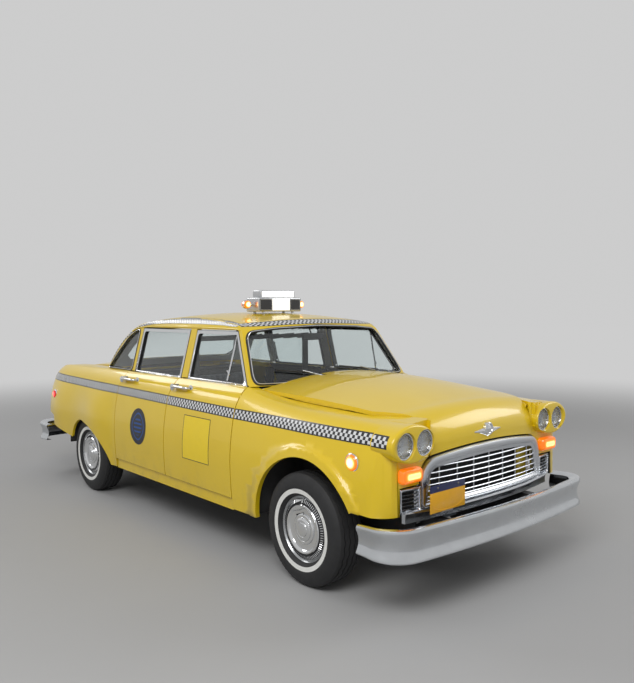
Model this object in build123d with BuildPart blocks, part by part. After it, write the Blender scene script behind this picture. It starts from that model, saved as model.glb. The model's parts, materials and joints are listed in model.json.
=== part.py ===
"""Four-door taxi sedan on a separate frame, with its cabin, boot and running gear.

Millimetres. +Z is up, the nose points to -Y and the car's left side is +X.
The origin is on the floor, under the middle of the car's length.
"""

import os
from math import cos, radians, sin

from build123d import *

os.makedirs("parts", exist_ok=True)

# Lengths along the car
WHEELBASE = 3048
FRONT_OVERHANG = 876
REAR_OVERHANG = 1277
LENGTH = FRONT_OVERHANG + WHEELBASE + REAR_OVERHANG
BUMPER_FRONT_Y = -LENGTH / 2
BUMPER_REAR_Y = LENGTH / 2
FRONT_AXLE = BUMPER_FRONT_Y + FRONT_OVERHANG
REAR_AXLE = FRONT_AXLE + WHEELBASE
AXLE_TO_COWL = 704
FRONT_DOOR_LENGTH = 900
REAR_DOOR_LENGTH = 851
NOSE_SETBACK = 195
TAIL_SETBACK = 270
SEAM_FRONT = FRONT_AXLE + AXLE_TO_COWL
SEAM_MIDDLE = SEAM_FRONT + FRONT_DOOR_LENGTH
SEAM_REAR = SEAM_MIDDLE + REAR_DOOR_LENGTH
NOSE_Y = BUMPER_FRONT_Y + NOSE_SETBACK
TAIL_Y = BUMPER_REAR_Y - TAIL_SETBACK

# Widths and heights of the body
HALF_WIDTH = 932
BELT_X = 785
WIDEST_Z = 640
BELT_Z = 1130
DOOR_BOTTOM = 395
ROCKER_TOP = 387
ROCKER_BOTTOM = 312
ROOF_Z = 1630
DRIP_Z = 1506

# Walls and gaps
SKIN = 22
PANEL_GAP = 9
FRAME_GAP = 10
DOOR_LIP = 12
DOOR_STEP = 50
DOOR_THICKNESS = 96
RABBET = 26
RABBET_DEEP = 46
GREENHOUSE_WALL = 40
GLASS_THICKNESS = 6
GLASS_INSET = 14
SEAT_GAP = 0.3
QUARTER_POD = 28

# Window posts, from the door seams
A_POST_FOOT = 21
A_POST_HEAD = 262
B_POST = 90
C_POST = 74
WINDOW_SILL = 1142
FRAME_BAR = 24

# Floors
FRAME_Z = 225
FLOOR_Z = 336
TRUNK_FLOOR_Z = 521
SHEET = 6
RAIL_X = (392, 455)
RAIL_TOP = 325
HORN_TOP = 466
KICK_Z = (430, 500)
SEAT_PAN = REAR_AXLE - 500
BULKHEAD_Y = SEAM_FRONT - 36

# Wheels
FRONT_TRACK = 1612
REAR_TRACK = 1603
TYRE_RADIUS = 342
TYRE_WIDTH = 215
RIM_RADIUS = 190
RIM_WIDTH = 152
KINGPIN_X = 672
HUB_Z = TYRE_RADIUS
AXLE_TUBE = 42

# Hood and boot lid seams, in plan
HOOD_REAR_X = 700
HOOD_FRONT_X = 655
HOOD_NOSE_X = 505
HOOD_THICKNESS = 26


def block(x, y, z):
    """Box between pairs of planes."""
    with BuildPart(mode=Mode.PRIVATE) as box:
        with Locations(((x[0] + x[1]) / 2, (y[0] + y[1]) / 2, (z[0] + z[1]) / 2)):
            Box(abs(x[1] - x[0]), abs(y[1] - y[0]), abs(z[1] - z[0]))
    return box.part


def side_prism(outline, x, radius=0):
    """Prism of an outline in Y and Z, between two X planes."""
    with BuildPart(mode=Mode.PRIVATE) as prism:
        with BuildSketch(Plane.YZ.offset(min(x))) as face:
            with BuildLine():
                Polyline(*outline, close=True)
            make_face()
            if radius:
                fillet(face.vertices(), radius)
        extrude(amount=abs(x[1] - x[0]))
    return prism.part


def front_prism(outline, y, radius=0):
    """Prism of an outline in X and Z, between two Y planes."""
    with BuildPart(mode=Mode.PRIVATE) as prism:
        with BuildSketch(Plane.XZ.offset(-max(y))) as face:
            with BuildLine():
                Polyline(*outline, close=True)
            make_face()
            if radius:
                fillet(face.vertices(), radius)
        extrude(amount=abs(y[1] - y[0]))
    return prism.part


def plan_prism(outline, z, radius=0):
    """Prism of an outline in X and Y, between two heights."""
    with BuildPart(mode=Mode.PRIVATE) as prism:
        with BuildSketch(Plane.XY.offset(min(z))) as face:
            with BuildLine():
                Polyline(*outline, close=True)
            make_face()
            if radius:
                fillet(face.vertices(), radius)
        extrude(amount=abs(z[1] - z[0]))
    return prism.part


def rod(start, end, radius):
    """Round bar between two points."""
    axis = Vector(*end) - Vector(*start)
    with BuildPart(mode=Mode.PRIVATE) as bar:
        with BuildSketch(Plane(origin=start, z_dir=axis)):
            Circle(radius)
        extrude(amount=axis.length)
    return bar.part


def mirrored(shape):
    """The same piece on the other side of the car."""
    with BuildPart(mode=Mode.PRIVATE) as other:
        add(shape)
        mirror(about=Plane.YZ, mode=Mode.REPLACE)
    return other.part


def save(shape, label):
    """Write one finished piece."""
    shape.label = label
    export_step(shape, f"parts/{label}.step")


# Shape of the side, the same from the front seam to the rear wheel

def side_section(plane, inset=0, crown_fall=0, shoulder_fall=0, draw=0, inner=560, inner_z=BELT_Z, pod=0):
    """Face of one side of the body, from an inner plane out to the skin less an inset."""
    low = 300
    x = HALF_WIDTH - draw - inset
    crown_z = BELT_Z - crown_fall - (inset if crown_fall else 0)
    edge_z = inner_z - (inset if crown_fall else 0)
    belt = (x - HALF_WIDTH + BELT_X, crown_z)
    shoulder = (x - 74 + inset * 0.1, BELT_Z - 80 - shoulder_fall - inset * 0.6)
    flank = (x - 42, BELT_Z - 155 - shoulder_fall - inset * 0.4)
    waist = (x - 11 + pod * 0.9, WIDEST_Z + 160 - shoulder_fall / 2)
    widest = (x + pod, WIDEST_Z)
    hip = (x - 4 + pod, WIDEST_Z - 120)
    foot = (x - 22 + pod, low)
    with BuildSketch(plane, mode=Mode.PRIVATE) as face:
        with BuildLine():
            Line((inner, low), (inner, edge_z))
            Line((inner, edge_z), belt)
            ThreePointArc(belt, shoulder, flank)
            ThreePointArc(flank, waist, widest)
            ThreePointArc(widest, hip, foot)
            Line(foot, (inner, low))
        make_face()
    return face.sketch


def side_wall(y, near, far):
    """Door-shaped wall of the left side between two Y planes and two depths from the skin."""
    with BuildPart(mode=Mode.PRIVATE) as wall:
        extrude(side_section(Plane.XZ.offset(-max(y)), near), amount=max(y) - min(y))
        extrude(side_section(Plane.XZ.offset(-max(y)), far), amount=max(y) - min(y), mode=Mode.SUBTRACT)
    return wall.part


def flank_hull(stations, inset, inner):
    """Solid fender or quarter through its stations."""
    with BuildPart(mode=Mode.PRIVATE) as hull:
        for y, crown, shoulder, draw, seam_z, pod in stations:
            add(side_section(Plane.XZ.offset(-y), inset, crown, shoulder, draw, inner, seam_z, pod))
        loft()
    return hull.part


# Hulls that are lofted across the car: each row is one upright profile

def cross_hull(rows, profile, inset):
    """Solid through upright profiles at -x, 0 and +x."""
    with BuildPart(mode=Mode.PRIVATE) as hull:
        for row in rows:
            with BuildSketch(Plane.YZ.offset(row[0])):
                with BuildLine():
                    profile(row, inset)
                make_face()
        loft()
    return hull.part


HOOD_FLOOR = 760
HOOD_MID_Y = FRONT_AXLE + 114
HOOD_BROW_Y = NOSE_Y + 185


def hood_profile(row, inset):
    """Cowl, hood and nose; row is x, rear z, middle z, brow z, nose z, nose setback."""
    x, rear_z, mid_z, brow_z, nose_z, setback = row
    rear = (SEAM_FRONT + 110, rear_z - inset)
    mid = (HOOD_MID_Y, mid_z - inset)
    brow = (HOOD_BROW_Y + setback * 0.6 + inset * 0.3, brow_z - inset)
    bend = (NOSE_Y + 50 + setback + inset * 0.8, nose_z - inset * 0.7)
    lip = (NOSE_Y + setback + inset, nose_z - 130)
    foot = (NOSE_Y + setback + inset + 4, HOOD_FLOOR)
    back = (SEAM_FRONT + 110, HOOD_FLOOR)
    ThreePointArc(rear, mid, brow)
    ThreePointArc(brow, bend, lip)
    Line(lip, foot)
    Line(foot, back)
    Line(back, rear)


HOOD_ROWS = (
    (-720, 1114, 1084, 1042, 985, 45),
    (-380, 1163, 1156, 1078, 1018, 12),
    (0, 1188, 1186, 1092, 1028, 0),
    (380, 1163, 1156, 1078, 1018, 12),
    (720, 1114, 1084, 1042, 985, 45),
)

GLASS_FOOT_Z = 1100


def roof_profile(row, inset):
    """Screen, roof and rear slope; row is x, screen foot y, head y, head z, roof front y, drop, rear shift."""
    x, foot_y, head_y, head_z, front_y, drop, rear = row
    foot = (foot_y + inset * 1.25, GLASS_FOOT_Z)
    head = (head_y + inset * 1.1, head_z - inset * 0.5)
    header = ((head_y + front_y) / 2 + inset * 0.6 - 10, head_z + 33 - inset)
    front = (front_y, ROOF_Z - 40 - drop - inset)
    top = (SEAM_MIDDLE + 160, ROOF_Z - drop - inset)
    rear_top = (SEAM_REAR - 150 - rear * 0.3, ROOF_Z - 30 - drop - inset)
    slope = (SEAM_REAR + 340 - rear - inset * 0.8, ROOF_Z - 180 - drop * 0.7 - inset * 0.7)
    rear_foot = (SEAM_REAR + 600 - rear - inset * 1.1, GLASS_FOOT_Z)
    Line(foot, head)
    ThreePointArc(head, header, front)
    ThreePointArc(front, top, rear_top)
    ThreePointArc(rear_top, slope, rear_foot)
    Line(rear_foot, foot)


SCREEN_Y = SEAM_FRONT - 162
ROOF_ROWS = (
    (-800, SCREEN_Y + 137, SEAM_FRONT + 222, 1474, SEAM_FRONT + 326, 66, 148),
    (0, SCREEN_Y, SEAM_FRONT + 175, 1540, SEAM_FRONT + 310, 0, 0),
    (800, SCREEN_Y + 137, SEAM_FRONT + 222, 1474, SEAM_FRONT + 326, 66, 148),
)


def greenhouse(inset):
    """Solid of the roof and windows, less an inset."""
    lean = 0.26
    edge = BELT_X - 7 - inset
    drip = edge - lean * (DRIP_Z - GLASS_FOOT_Z)
    with BuildPart(mode=Mode.PRIVATE) as hull:
        add(cross_hull(ROOF_ROWS, roof_profile, inset))
        with BuildPart(mode=Mode.PRIVATE) as sides:
            with BuildSketch(Plane.XZ.offset(-3000)):
                with BuildLine():
                    right = Line((-edge, GLASS_FOOT_Z), (-drip, DRIP_Z))
                    ThreePointArc((-drip, DRIP_Z), (-drip + 26, DRIP_Z + 56), (-drip + 92, DRIP_Z + 98))
                    Polyline((-drip + 92, DRIP_Z + 98), (0, ROOF_Z + 60), (drip - 92, DRIP_Z + 98))
                    ThreePointArc((drip - 92, DRIP_Z + 98), (drip - 26, DRIP_Z + 56), (drip, DRIP_Z))
                    Line((drip, DRIP_Z), (edge, GLASS_FOOT_Z))
                    Line((edge, GLASS_FOOT_Z), (-edge, GLASS_FOOT_Z))
                make_face()
            extrude(amount=6000)
        add(sides.part, mode=Mode.INTERSECT)
    return hull.part


DECK_FLOOR = 500


def deck_profile(row, inset):
    """Rear deck and tail; row is x, front z, middle z, rear z, bend z, tail setback."""
    x, front_z, mid_z, rear_z, bend_z, setback = row
    front = (SEAM_REAR + 380, front_z - inset)
    mid = (SEAM_REAR + 960, mid_z - inset)
    rear = (TAIL_Y - 190 - setback, rear_z - inset)
    bend = (TAIL_Y - 52 - setback - inset * 0.7, bend_z - inset * 0.7)
    lip = (TAIL_Y - setback - inset, bend_z - 150)
    foot = (TAIL_Y - setback - inset, DECK_FLOOR)
    back = (SEAM_REAR + 380, DECK_FLOOR)
    ThreePointArc(front, mid, rear)
    ThreePointArc(rear, bend, lip)
    Line(lip, foot)
    Line(foot, back)
    Line(back, front)


DECK_ROWS = (
    (-720, 1132, 1118, 1082, 1015, 45),
    (0, 1150, 1146, 1108, 1040, 0),
    (720, 1132, 1118, 1082, 1015, 45),
)

# Front fenders: columns are y, crown fall, shoulder fall, draw in, height at the hood seam, bulge
FENDER_STATIONS = (
    (SEAM_FRONT - PANEL_GAP / 2, 1, 1, 0, BELT_Z - 12, 0),
    (SEAM_FRONT - 590, 85, 55, 4, BELT_Z - 50, 0),
    (SEAM_FRONT - 990, 100, 62, 14, BELT_Z - 66, 0),
    (SEAM_FRONT - 1240, 108, 65, 36, BELT_Z - 78, 0),
    (NOSE_Y, 112, 66, 58, BELT_Z - 90, 0),
)

# Rear quarters: the same columns, the last at the boot seam
QUARTER_STATIONS = (
    (SEAM_REAR + PANEL_GAP / 2, 1, 1, 0, BELT_Z - 1, 0),
    (SEAM_REAR + 60, 1, 1, 0, BELT_Z - 1, 4),
    (SEAM_REAR + 190, 2, 1, 0, BELT_Z - 1, QUARTER_POD),
    (REAR_AXLE, 5, 2, 0, BELT_Z - 2, QUARTER_POD),
    (REAR_AXLE + 480, 12, 5, 6, BELT_Z - 10, QUARTER_POD),
    (REAR_AXLE + 800, 22, 12, 22, BELT_Z - 24, QUARTER_POD),
    (TAIL_Y, 52, 34, 62, BELT_Z - 62, QUARTER_POD),
)

# Grille and side grilles

SIDE_GRILLE_X = 742
SIDE_GRILLE_TOP = 676
GRILLE_TOP = 855
GRILLE_X = 585
GRILLE_BOTTOM = 545
GRILLE_BAND = 66

# Wheel openings and front walls
FACE_SETBACK = 30
FRONT_ARCH_Y = FRONT_AXLE - 20
FRONT_ARCH_Z = 325
FRONT_ARCH_RADIUS = 455
FLARE_WIDTH = 62
FLARE_DEPTH = 9


FACE_Y = (NOSE_Y - 200, NOSE_Y + 300)


def grille_face(grow, y):
    """Filled outline of the grille surround between two Y planes."""
    edge = GRILLE_X + grow
    top = GRILLE_TOP + grow
    with BuildPart(mode=Mode.PRIVATE) as face:
        with BuildSketch(Plane.XZ.offset(-max(y))):
            with BuildLine():
                ThreePointArc((-edge + 115, top - 28), (0, top), (edge - 115, top - 28))
                ThreePointArc((edge - 115, top - 28), (edge - 28, top - 76), (edge, top - 160))
                Polyline((edge, top - 160), (edge, GRILLE_BOTTOM - grow), (-edge, GRILLE_BOTTOM - grow),
                         (-edge, top - 160))
                ThreePointArc((-edge, top - 160), (-edge + 28, top - 76), (-edge + 115, top - 28))
            make_face()
        extrude(amount=max(y) - min(y))
    return face.part


def arch_disc(radius, x):
    """Round plug of the front wheel opening."""
    with BuildPart(mode=Mode.PRIVATE) as disc:
        with BuildSketch(Plane.YZ.offset(min(x))):
            with Locations((FRONT_ARCH_Y, FRONT_ARCH_Z)):
                Circle(radius)
        extrude(amount=max(x) - min(x))
    return disc.part


def nose_corner(inset=0):
    """Plan of the left fender, clear of the hood, with its round front corner."""
    rear = SEAM_FRONT + 40
    hood_side = max(inset, 0) * 20
    front = NOSE_Y + FACE_SETBACK + inset
    outer = HALF_WIDTH - inset
    with BuildPart(mode=Mode.PRIVATE) as plan:
        with BuildSketch(Plane.XY.offset(250)):
            with BuildLine():
                Line((HOOD_REAR_X + PANEL_GAP - hood_side, rear), (outer + 60, rear))
                Line((outer + 60, rear), (outer + 60, NOSE_Y + 330))
                Line((outer + 60, NOSE_Y + 330), (outer - 28, NOSE_Y + 150))
                ThreePointArc((outer - 28, NOSE_Y + 150), (outer - 78, front + 46), (outer - 190, front))
                Polyline((outer - 190, front), (HOOD_NOSE_X + PANEL_GAP - hood_side, front),
                         (HOOD_NOSE_X + PANEL_GAP - hood_side, NOSE_Y + 60),
                         (HOOD_FRONT_X + PANEL_GAP - hood_side, NOSE_Y + 330),
                         (HOOD_REAR_X + PANEL_GAP - hood_side, rear))
            make_face()
        extrude(amount=1000)
    return plan.part


def tail_corner(inset=0):
    """Plan of the left quarter, clear of the boot lid, with its round rear corner."""
    seam = SEAM_REAR + PANEL_GAP / 2 - inset * 2
    outer = HALF_WIDTH + QUARTER_POD - inset
    tail = TAIL_Y - inset
    lid_side = LID_X + PANEL_GAP - inset * 20
    with BuildPart(mode=Mode.PRIVATE) as plan:
        with BuildSketch(Plane.XY.offset(250)):
            with BuildLine():
                Polyline((lid_side, tail), (lid_side, LID_FRONT - 100), (BELT_X - 90 - inset * 20, LID_FRONT - 100),
                         (BELT_X - 90 - inset * 20, seam), (outer + 50, seam), (outer + 50, TAIL_Y - 300),
                         (outer - 26, TAIL_Y - 165))
                ThreePointArc((outer - 26, TAIL_Y - 165), (outer - 75, tail - 50), (outer - 190, tail))
                Line((outer - 190, tail), (lid_side, tail))
            make_face()
        extrude(amount=1000)
    return plan.part


FENDER_FOOT_Z = 531


def front_fender():
    """Left front fender with its front wall, wheel opening and flare."""
    with BuildPart(mode=Mode.PRIVATE) as fender:
        add(flank_hull(FENDER_STATIONS, 0, HOOD_NOSE_X - 40))
        with BuildPart(mode=Mode.PRIVATE) as flare:
            add(flank_hull(FENDER_STATIONS, -FLARE_DEPTH, HOOD_NOSE_X - 40))
            add(arch_disc(FRONT_ARCH_RADIUS + FLARE_WIDTH, (HALF_WIDTH - 190, HALF_WIDTH + 60)), mode=Mode.INTERSECT)
        add(flare.part)
        with BuildPart(mode=Mode.PRIVATE) as hollow:
            add(flank_hull(FENDER_STATIONS, SKIN, 380))
            add(nose_corner(SKIN), mode=Mode.INTERSECT)
        add(hollow.part, mode=Mode.SUBTRACT)
        add(nose_corner(), mode=Mode.INTERSECT)
        add(side_prism(fender_foot(), (300, 1100)), mode=Mode.SUBTRACT)
        add(arch_disc(FRONT_ARCH_RADIUS, (300, 1100)), mode=Mode.SUBTRACT)
        add(block((0, SIDE_GRILLE_X + PANEL_GAP), (NOSE_Y - 100, NOSE_Y + 250), (0, SIDE_GRILLE_TOP + PANEL_GAP)),
            mode=Mode.SUBTRACT)
        add(block((0, 1200), (NOSE_Y - 100, NOSE_Y + 150), (0, FENDER_FOOT_Z)), mode=Mode.SUBTRACT)
        add(grille_face(PANEL_GAP, FACE_Y), mode=Mode.SUBTRACT)
    return fender.part


def fender_foot():
    """What is cut away below the front fender."""
    return (
        (SEAM_FRONT + 60, 0),
        (SEAM_FRONT + 60, ROCKER_BOTTOM + 10),
        (FRONT_AXLE, ROCKER_BOTTOM + 10),
        (FRONT_AXLE - 440, 540),
        (NOSE_Y + 40, FENDER_FOOT_Z),
        (NOSE_Y - 100, FENDER_FOOT_Z),
        (NOSE_Y - 100, 0),
    )


def rear_quarter():
    """Left rear quarter with its tail corner, C post foot and wheel opening."""
    with BuildPart(mode=Mode.PRIVATE) as quarter:
        add(flank_hull(QUARTER_STATIONS, 0, 560))
        with BuildPart(mode=Mode.PRIVATE) as hollow:
            add(flank_hull(QUARTER_STATIONS, SKIN, 380))
            add(tail_corner(SKIN), mode=Mode.INTERSECT)
            add(block((0, 1200), (SEAM_REAR - 60, LID_FRONT - 100), (BEAM_Z, 2000)), mode=Mode.SUBTRACT)
        add(hollow.part, mode=Mode.SUBTRACT)
        add(tail_corner(), mode=Mode.INTERSECT)
        add(side_prism(quarter_foot(), (300, 1100)), mode=Mode.SUBTRACT)
        with BuildSketch(Plane.YZ.offset(300)):
            with BuildLine():
                front = (REAR_AXLE - 500, ROCKER_BOTTOM + 8)
                top = (REAR_AXLE - 20, REAR_ARCH_TOP)
                rear = (REAR_AXLE + 318, 440)
                ThreePointArc(front, (REAR_AXLE - 316, 535), top)
                ThreePointArc(top, (REAR_AXLE + 225, 592), rear)
                Polyline(rear, (REAR_AXLE + 318, 200), (REAR_AXLE - 500, 200), front)
            make_face()
        extrude(amount=800, mode=Mode.SUBTRACT)
    return quarter.part


REAR_ARCH_TOP = 637
LID_X = 615
LID_FRONT = SEAM_REAR + 650
LID_BOTTOM = 700
TAIL_TOP = 690
LATCH_X = 45
SHELF_Z = 1078
BEAM_Z = 1085
POST_FOOT_Z = BELT_Z + 7
HOOD_REAR_EDGE_Z = BELT_Z - 60


def quarter_foot():
    """What is cut away below the rear quarter."""
    return (
        (SEAM_REAR - 60, 0),
        (SEAM_REAR - 60, ROCKER_BOTTOM + 8),
        (REAR_AXLE, ROCKER_BOTTOM + 8),
        (REAR_AXLE + 316, 462),
        (REAR_AXLE + 725, 530),
        (REAR_AXLE + 740, 626),
        (TAIL_Y + 60, 640),
        (TAIL_Y + 60, 0),
    )


# Door outlines, in Y and Z

def front_frame(grow):
    """Outline of the front door's window frame, grown by a gap."""
    slant = (A_POST_HEAD - A_POST_FOOT) / (DRIP_Z - BELT_Z)
    foot = SEAM_FRONT + A_POST_FOOT - grow
    top = DRIP_Z - PANEL_GAP + grow
    return (
        (foot - slant * 10, BELT_Z - 10),
        (foot + slant * (top - BELT_Z), top),
        (SEAM_MIDDLE - PANEL_GAP / 2 - B_POST - FRAME_GAP / 2 + grow, top),
        (SEAM_MIDDLE - PANEL_GAP / 2 - B_POST - FRAME_GAP / 2 + grow, BELT_Z - 10),
    )


def rear_frame(grow):
    """Outline of the rear door's window frame, grown by a gap."""
    top = DRIP_Z - PANEL_GAP + grow
    return (
        (SEAM_MIDDLE + PANEL_GAP / 2 - grow, BELT_Z - 10),
        (SEAM_MIDDLE + PANEL_GAP / 2 - grow, top),
        (SEAM_REAR - C_POST - FRAME_GAP + grow, top),
        (SEAM_REAR - C_POST - FRAME_GAP + grow, BELT_Z - 10),
    )


def quarter_window(grow):
    """Outline of the fixed rear side window."""
    return (
        (SEAM_REAR - 20 - grow, WINDOW_SILL - grow),
        (SEAM_REAR - 20 - grow, DRIP_Z - 18 + grow),
        (SEAM_REAR + 60, DRIP_Z - 32 + grow),
        (SEAM_REAR + 165 + grow, DRIP_Z - 85 + grow),
        (SEAM_REAR + 295 + grow, DRIP_Z - 205 + grow),
        (SEAM_REAR + 432 + grow, WINDOW_SILL - grow),
    )


def window_outline(frame):
    """Glass outline inside a door frame."""
    bar = FRAME_BAR
    (y0, _), (y1, z1), (y2, _), (y3, _) = frame
    slant = (y1 - y0) / (z1 - BELT_Z + 10)
    return (
        (y0 + slant * (WINDOW_SILL - BELT_Z + 10) + bar, WINDOW_SILL),
        (y1 - slant * bar + bar, z1 - bar),
        (y2 - bar, z1 - bar),
        (y3 - bar, WINDOW_SILL),
    )


shell_outer = greenhouse(0)
shell_inner = greenhouse(GREENHOUSE_WALL)
shell_lip = greenhouse(DOOR_LIP)
glass_outer = greenhouse(GLASS_INSET)
glass_inner = greenhouse(GLASS_INSET + GLASS_THICKNESS)
SIDE_X = (630, 1000)
SIDES_X = (-1000, 1000)


def side_door(y, frame, handle_y):
    """Left door: skin, stepped inner box and window frame."""
    low, high = y
    with BuildPart(mode=Mode.PRIVATE) as door:
        add(side_wall((low, high), 0, DOOR_LIP + 1))
        add(side_wall((low + RABBET, high - RABBET), DOOR_LIP, DOOR_STEP + 1))
        add(side_wall((low + RABBET, high - RABBET_DEEP), DOOR_STEP, DOOR_THICKNESS))
        add(block((500, 1000), (low - 50, high + 50), (0, DOOR_BOTTOM)), mode=Mode.SUBTRACT)
        add(block((500, HALF_WIDTH - DOOR_LIP - 30), (low - 50, high + 50), (0, DOOR_BOTTOM + 22)), mode=Mode.SUBTRACT)
        with BuildPart(mode=Mode.PRIVATE) as upper:
            add(shell_outer)
            add(shell_inner, mode=Mode.SUBTRACT)
            add(side_prism(frame, SIDE_X), mode=Mode.INTERSECT)
            edge = max(point[0] for point in frame)
            with BuildPart(mode=Mode.PRIVATE) as rebate:
                add(shell_lip)
                add(block((300, 1000), (edge - 10, edge + 20), (1000, 1700)), mode=Mode.INTERSECT)
            add(rebate.part, mode=Mode.SUBTRACT)
            add(side_prism(window_outline(frame), SIDE_X, 22), mode=Mode.SUBTRACT)
        add(upper.part)
        add(rod((BELT_X + 40, handle_y, 1068), (BELT_X + 106, handle_y, 1082), 12))
        add(block((BELT_X + 84, BELT_X + 102), (handle_y - 20, handle_y + 150), (1066, 1088)))
    return door.part


def side_glass(frame):
    """Pane that fills a left door's window."""
    with BuildPart(mode=Mode.PRIVATE) as pane:
        add(glass_outer)
        add(glass_inner, mode=Mode.SUBTRACT)
        add(side_prism(window_outline(frame), SIDE_X, 22), mode=Mode.INTERSECT)
    return pane.part


front_door = side_door((SEAM_FRONT + PANEL_GAP / 2, SEAM_MIDDLE - PANEL_GAP / 2), front_frame(0), SEAM_MIDDLE - 215)
rear_door = side_door((SEAM_MIDDLE + PANEL_GAP / 2, SEAM_REAR - PANEL_GAP / 2), rear_frame(0), SEAM_REAR - 215)
front_pane = side_glass(front_frame(0))
rear_pane = side_glass(rear_frame(0))
for place, piece in (("left", lambda shape: shape), ("right", mirrored)):
    save(piece(front_door), f"door_front_{place}")
    save(piece(rear_door), f"door_rear_{place}")
    save(piece(front_pane), f"glass_front_{place}")
    save(piece(rear_pane), f"glass_rear_{place}")

# Windscreen and rear window openings, seen from the front and from behind

def screen_outline(grow):
    """Windscreen opening in X and Z."""
    half = (
        (0, BELT_Z + 26 - grow),
        (560, BELT_Z + 12 - grow),
        (722 + grow, BELT_Z + 14 - grow),
        (724 + grow, BELT_Z + 60),
        (652 + grow, DRIP_Z - 50 + grow),
        (616 + grow, DRIP_Z - 14 + grow),
        (400, DRIP_Z + 6 + grow),
        (0, DRIP_Z + 18 + grow),
    )
    return half + tuple((-x, z) for x, z in reversed(half[1:-1]))


def backlight_outline(grow):
    """Rear window opening in X and Z."""
    half = (
        (0, BELT_Z + 62 - grow),
        (540 + grow, BELT_Z + 60 - grow),
        (600 + grow, BELT_Z + 110),
        (520 + grow, DRIP_Z - 60 + grow),
        (470, DRIP_Z - 28 + grow),
        (0, DRIP_Z - 12 + grow),
    )
    return half + tuple((-x, z) for x, z in reversed(half[1:-1]))


quarter_hull = flank_hull(QUARTER_STATIONS, -SEAT_GAP, 560)

with BuildPart() as roof:
    add(shell_outer)
    add(shell_inner, mode=Mode.SUBTRACT)
    add(block((-1000, 1000), (-3000, 3000), (1000, BELT_Z + SEAT_GAP)), mode=Mode.SUBTRACT)
    add(block((-1000, 1000), (SEAM_FRONT, SEAM_REAR + PANEL_GAP / 2), (1000, POST_FOOT_Z)), mode=Mode.SUBTRACT)
    add(quarter_hull, mode=Mode.SUBTRACT)
    add(mirrored(quarter_hull), mode=Mode.SUBTRACT)
    add(front_prism(screen_outline(0), (-2000, SEAM_FRONT + 420)), mode=Mode.SUBTRACT)
    add(front_prism(backlight_outline(0), (SEAM_REAR, 2400)), mode=Mode.SUBTRACT)
    add(side_prism(front_frame(PANEL_GAP), SIDES_X), mode=Mode.SUBTRACT)
    add(side_prism(rear_frame(FRAME_GAP), SIDES_X), mode=Mode.SUBTRACT)
    add(side_prism(quarter_window(0), SIDES_X), mode=Mode.SUBTRACT)
save(roof.part, "roof")

with BuildPart() as body_glass:
    add(glass_outer)
    add(glass_inner, mode=Mode.SUBTRACT)
    with BuildPart(mode=Mode.PRIVATE) as panes:
        add(front_prism(screen_outline(-SEAT_GAP), (-2000, SEAM_FRONT + 420)))
        add(front_prism(backlight_outline(-SEAT_GAP), (SEAM_REAR, 2400)))
        add(side_prism(quarter_window(-SEAT_GAP), (500, 1000)))
        add(side_prism(quarter_window(-SEAT_GAP), (-1000, -500)))
    add(panes.part, mode=Mode.INTERSECT)
save(body_glass.part, "body_glass")

# Fenders, quarters, hood, cowl and boot lid

with BuildPart() as fender_block:
    add(flank_hull(FENDER_STATIONS, -SEAT_GAP, HOOD_NOSE_X - 40))
    add(nose_corner(-SEAT_GAP), mode=Mode.INTERSECT)
fender_solid = fender_block.part
left_fender = front_fender()
left_quarter = rear_quarter()
save(left_fender, "fender_left")
save(mirrored(left_fender), "fender_right")
save(left_quarter, "quarter_left")
save(mirrored(left_quarter), "quarter_right")

hood_outer = cross_hull(HOOD_ROWS, hood_profile, 0)
hood_inner = cross_hull(HOOD_ROWS, hood_profile, HOOD_THICKNESS)
HOOD_REAR_Y = SCREEN_Y - 20
HOOD_REAR_BOW = 115


with BuildPart() as hood:
    add(hood_outer)
    add(hood_inner, mode=Mode.SUBTRACT)
    with BuildPart(mode=Mode.PRIVATE) as plan:
        with BuildSketch(Plane.XY.offset(600)):
            with BuildLine():
                ThreePointArc((-HOOD_REAR_X, HOOD_REAR_Y + HOOD_REAR_BOW), (0, HOOD_REAR_Y),
                              (HOOD_REAR_X, HOOD_REAR_Y + HOOD_REAR_BOW))
                Polyline((HOOD_REAR_X, HOOD_REAR_Y + HOOD_REAR_BOW), (HOOD_FRONT_X, NOSE_Y + 330),
                         (HOOD_NOSE_X, NOSE_Y + 60), (HOOD_NOSE_X, NOSE_Y - 40), (-HOOD_NOSE_X, NOSE_Y - 40),
                         (-HOOD_NOSE_X, NOSE_Y + 60), (-HOOD_FRONT_X, NOSE_Y + 330),
                         (-HOOD_REAR_X, HOOD_REAR_Y + HOOD_REAR_BOW))
            make_face()
        extrude(amount=900)
    add(plan.part, mode=Mode.INTERSECT)
    add(grille_face(PANEL_GAP, (NOSE_Y - 200, NOSE_Y + 300)), mode=Mode.SUBTRACT)
    add(block((-1000, 1000), (-3000, 0), (0, GRILLE_TOP - 90)), mode=Mode.SUBTRACT)
save(hood.part, "hood")

with BuildPart() as cowl:
    with BuildPart(mode=Mode.PRIVATE) as skin:
        add(hood_outer)
        add(hood_inner, mode=Mode.SUBTRACT)
        with BuildPart(mode=Mode.PRIVATE) as plan:
            with BuildSketch(Plane.XY.offset(1060)):
                with BuildLine():
                    front_y = HOOD_REAR_Y + PANEL_GAP
                    ThreePointArc((-HOOD_REAR_X, front_y + HOOD_REAR_BOW), (0, front_y),
                                  (HOOD_REAR_X, front_y + HOOD_REAR_BOW))
                    Polyline((HOOD_REAR_X, front_y + HOOD_REAR_BOW), (HOOD_REAR_X, SEAM_FRONT - 20),
                             (-HOOD_REAR_X, SEAM_FRONT - 20), (-HOOD_REAR_X, front_y + HOOD_REAR_BOW))
                make_face()
            extrude(amount=300)
        add(plan.part, mode=Mode.INTERSECT)
        add(shell_outer, mode=Mode.SUBTRACT)
    add(skin.part.solids().sort_by(SortBy.VOLUME)[-1])
save(cowl.part, "cowl")

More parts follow.
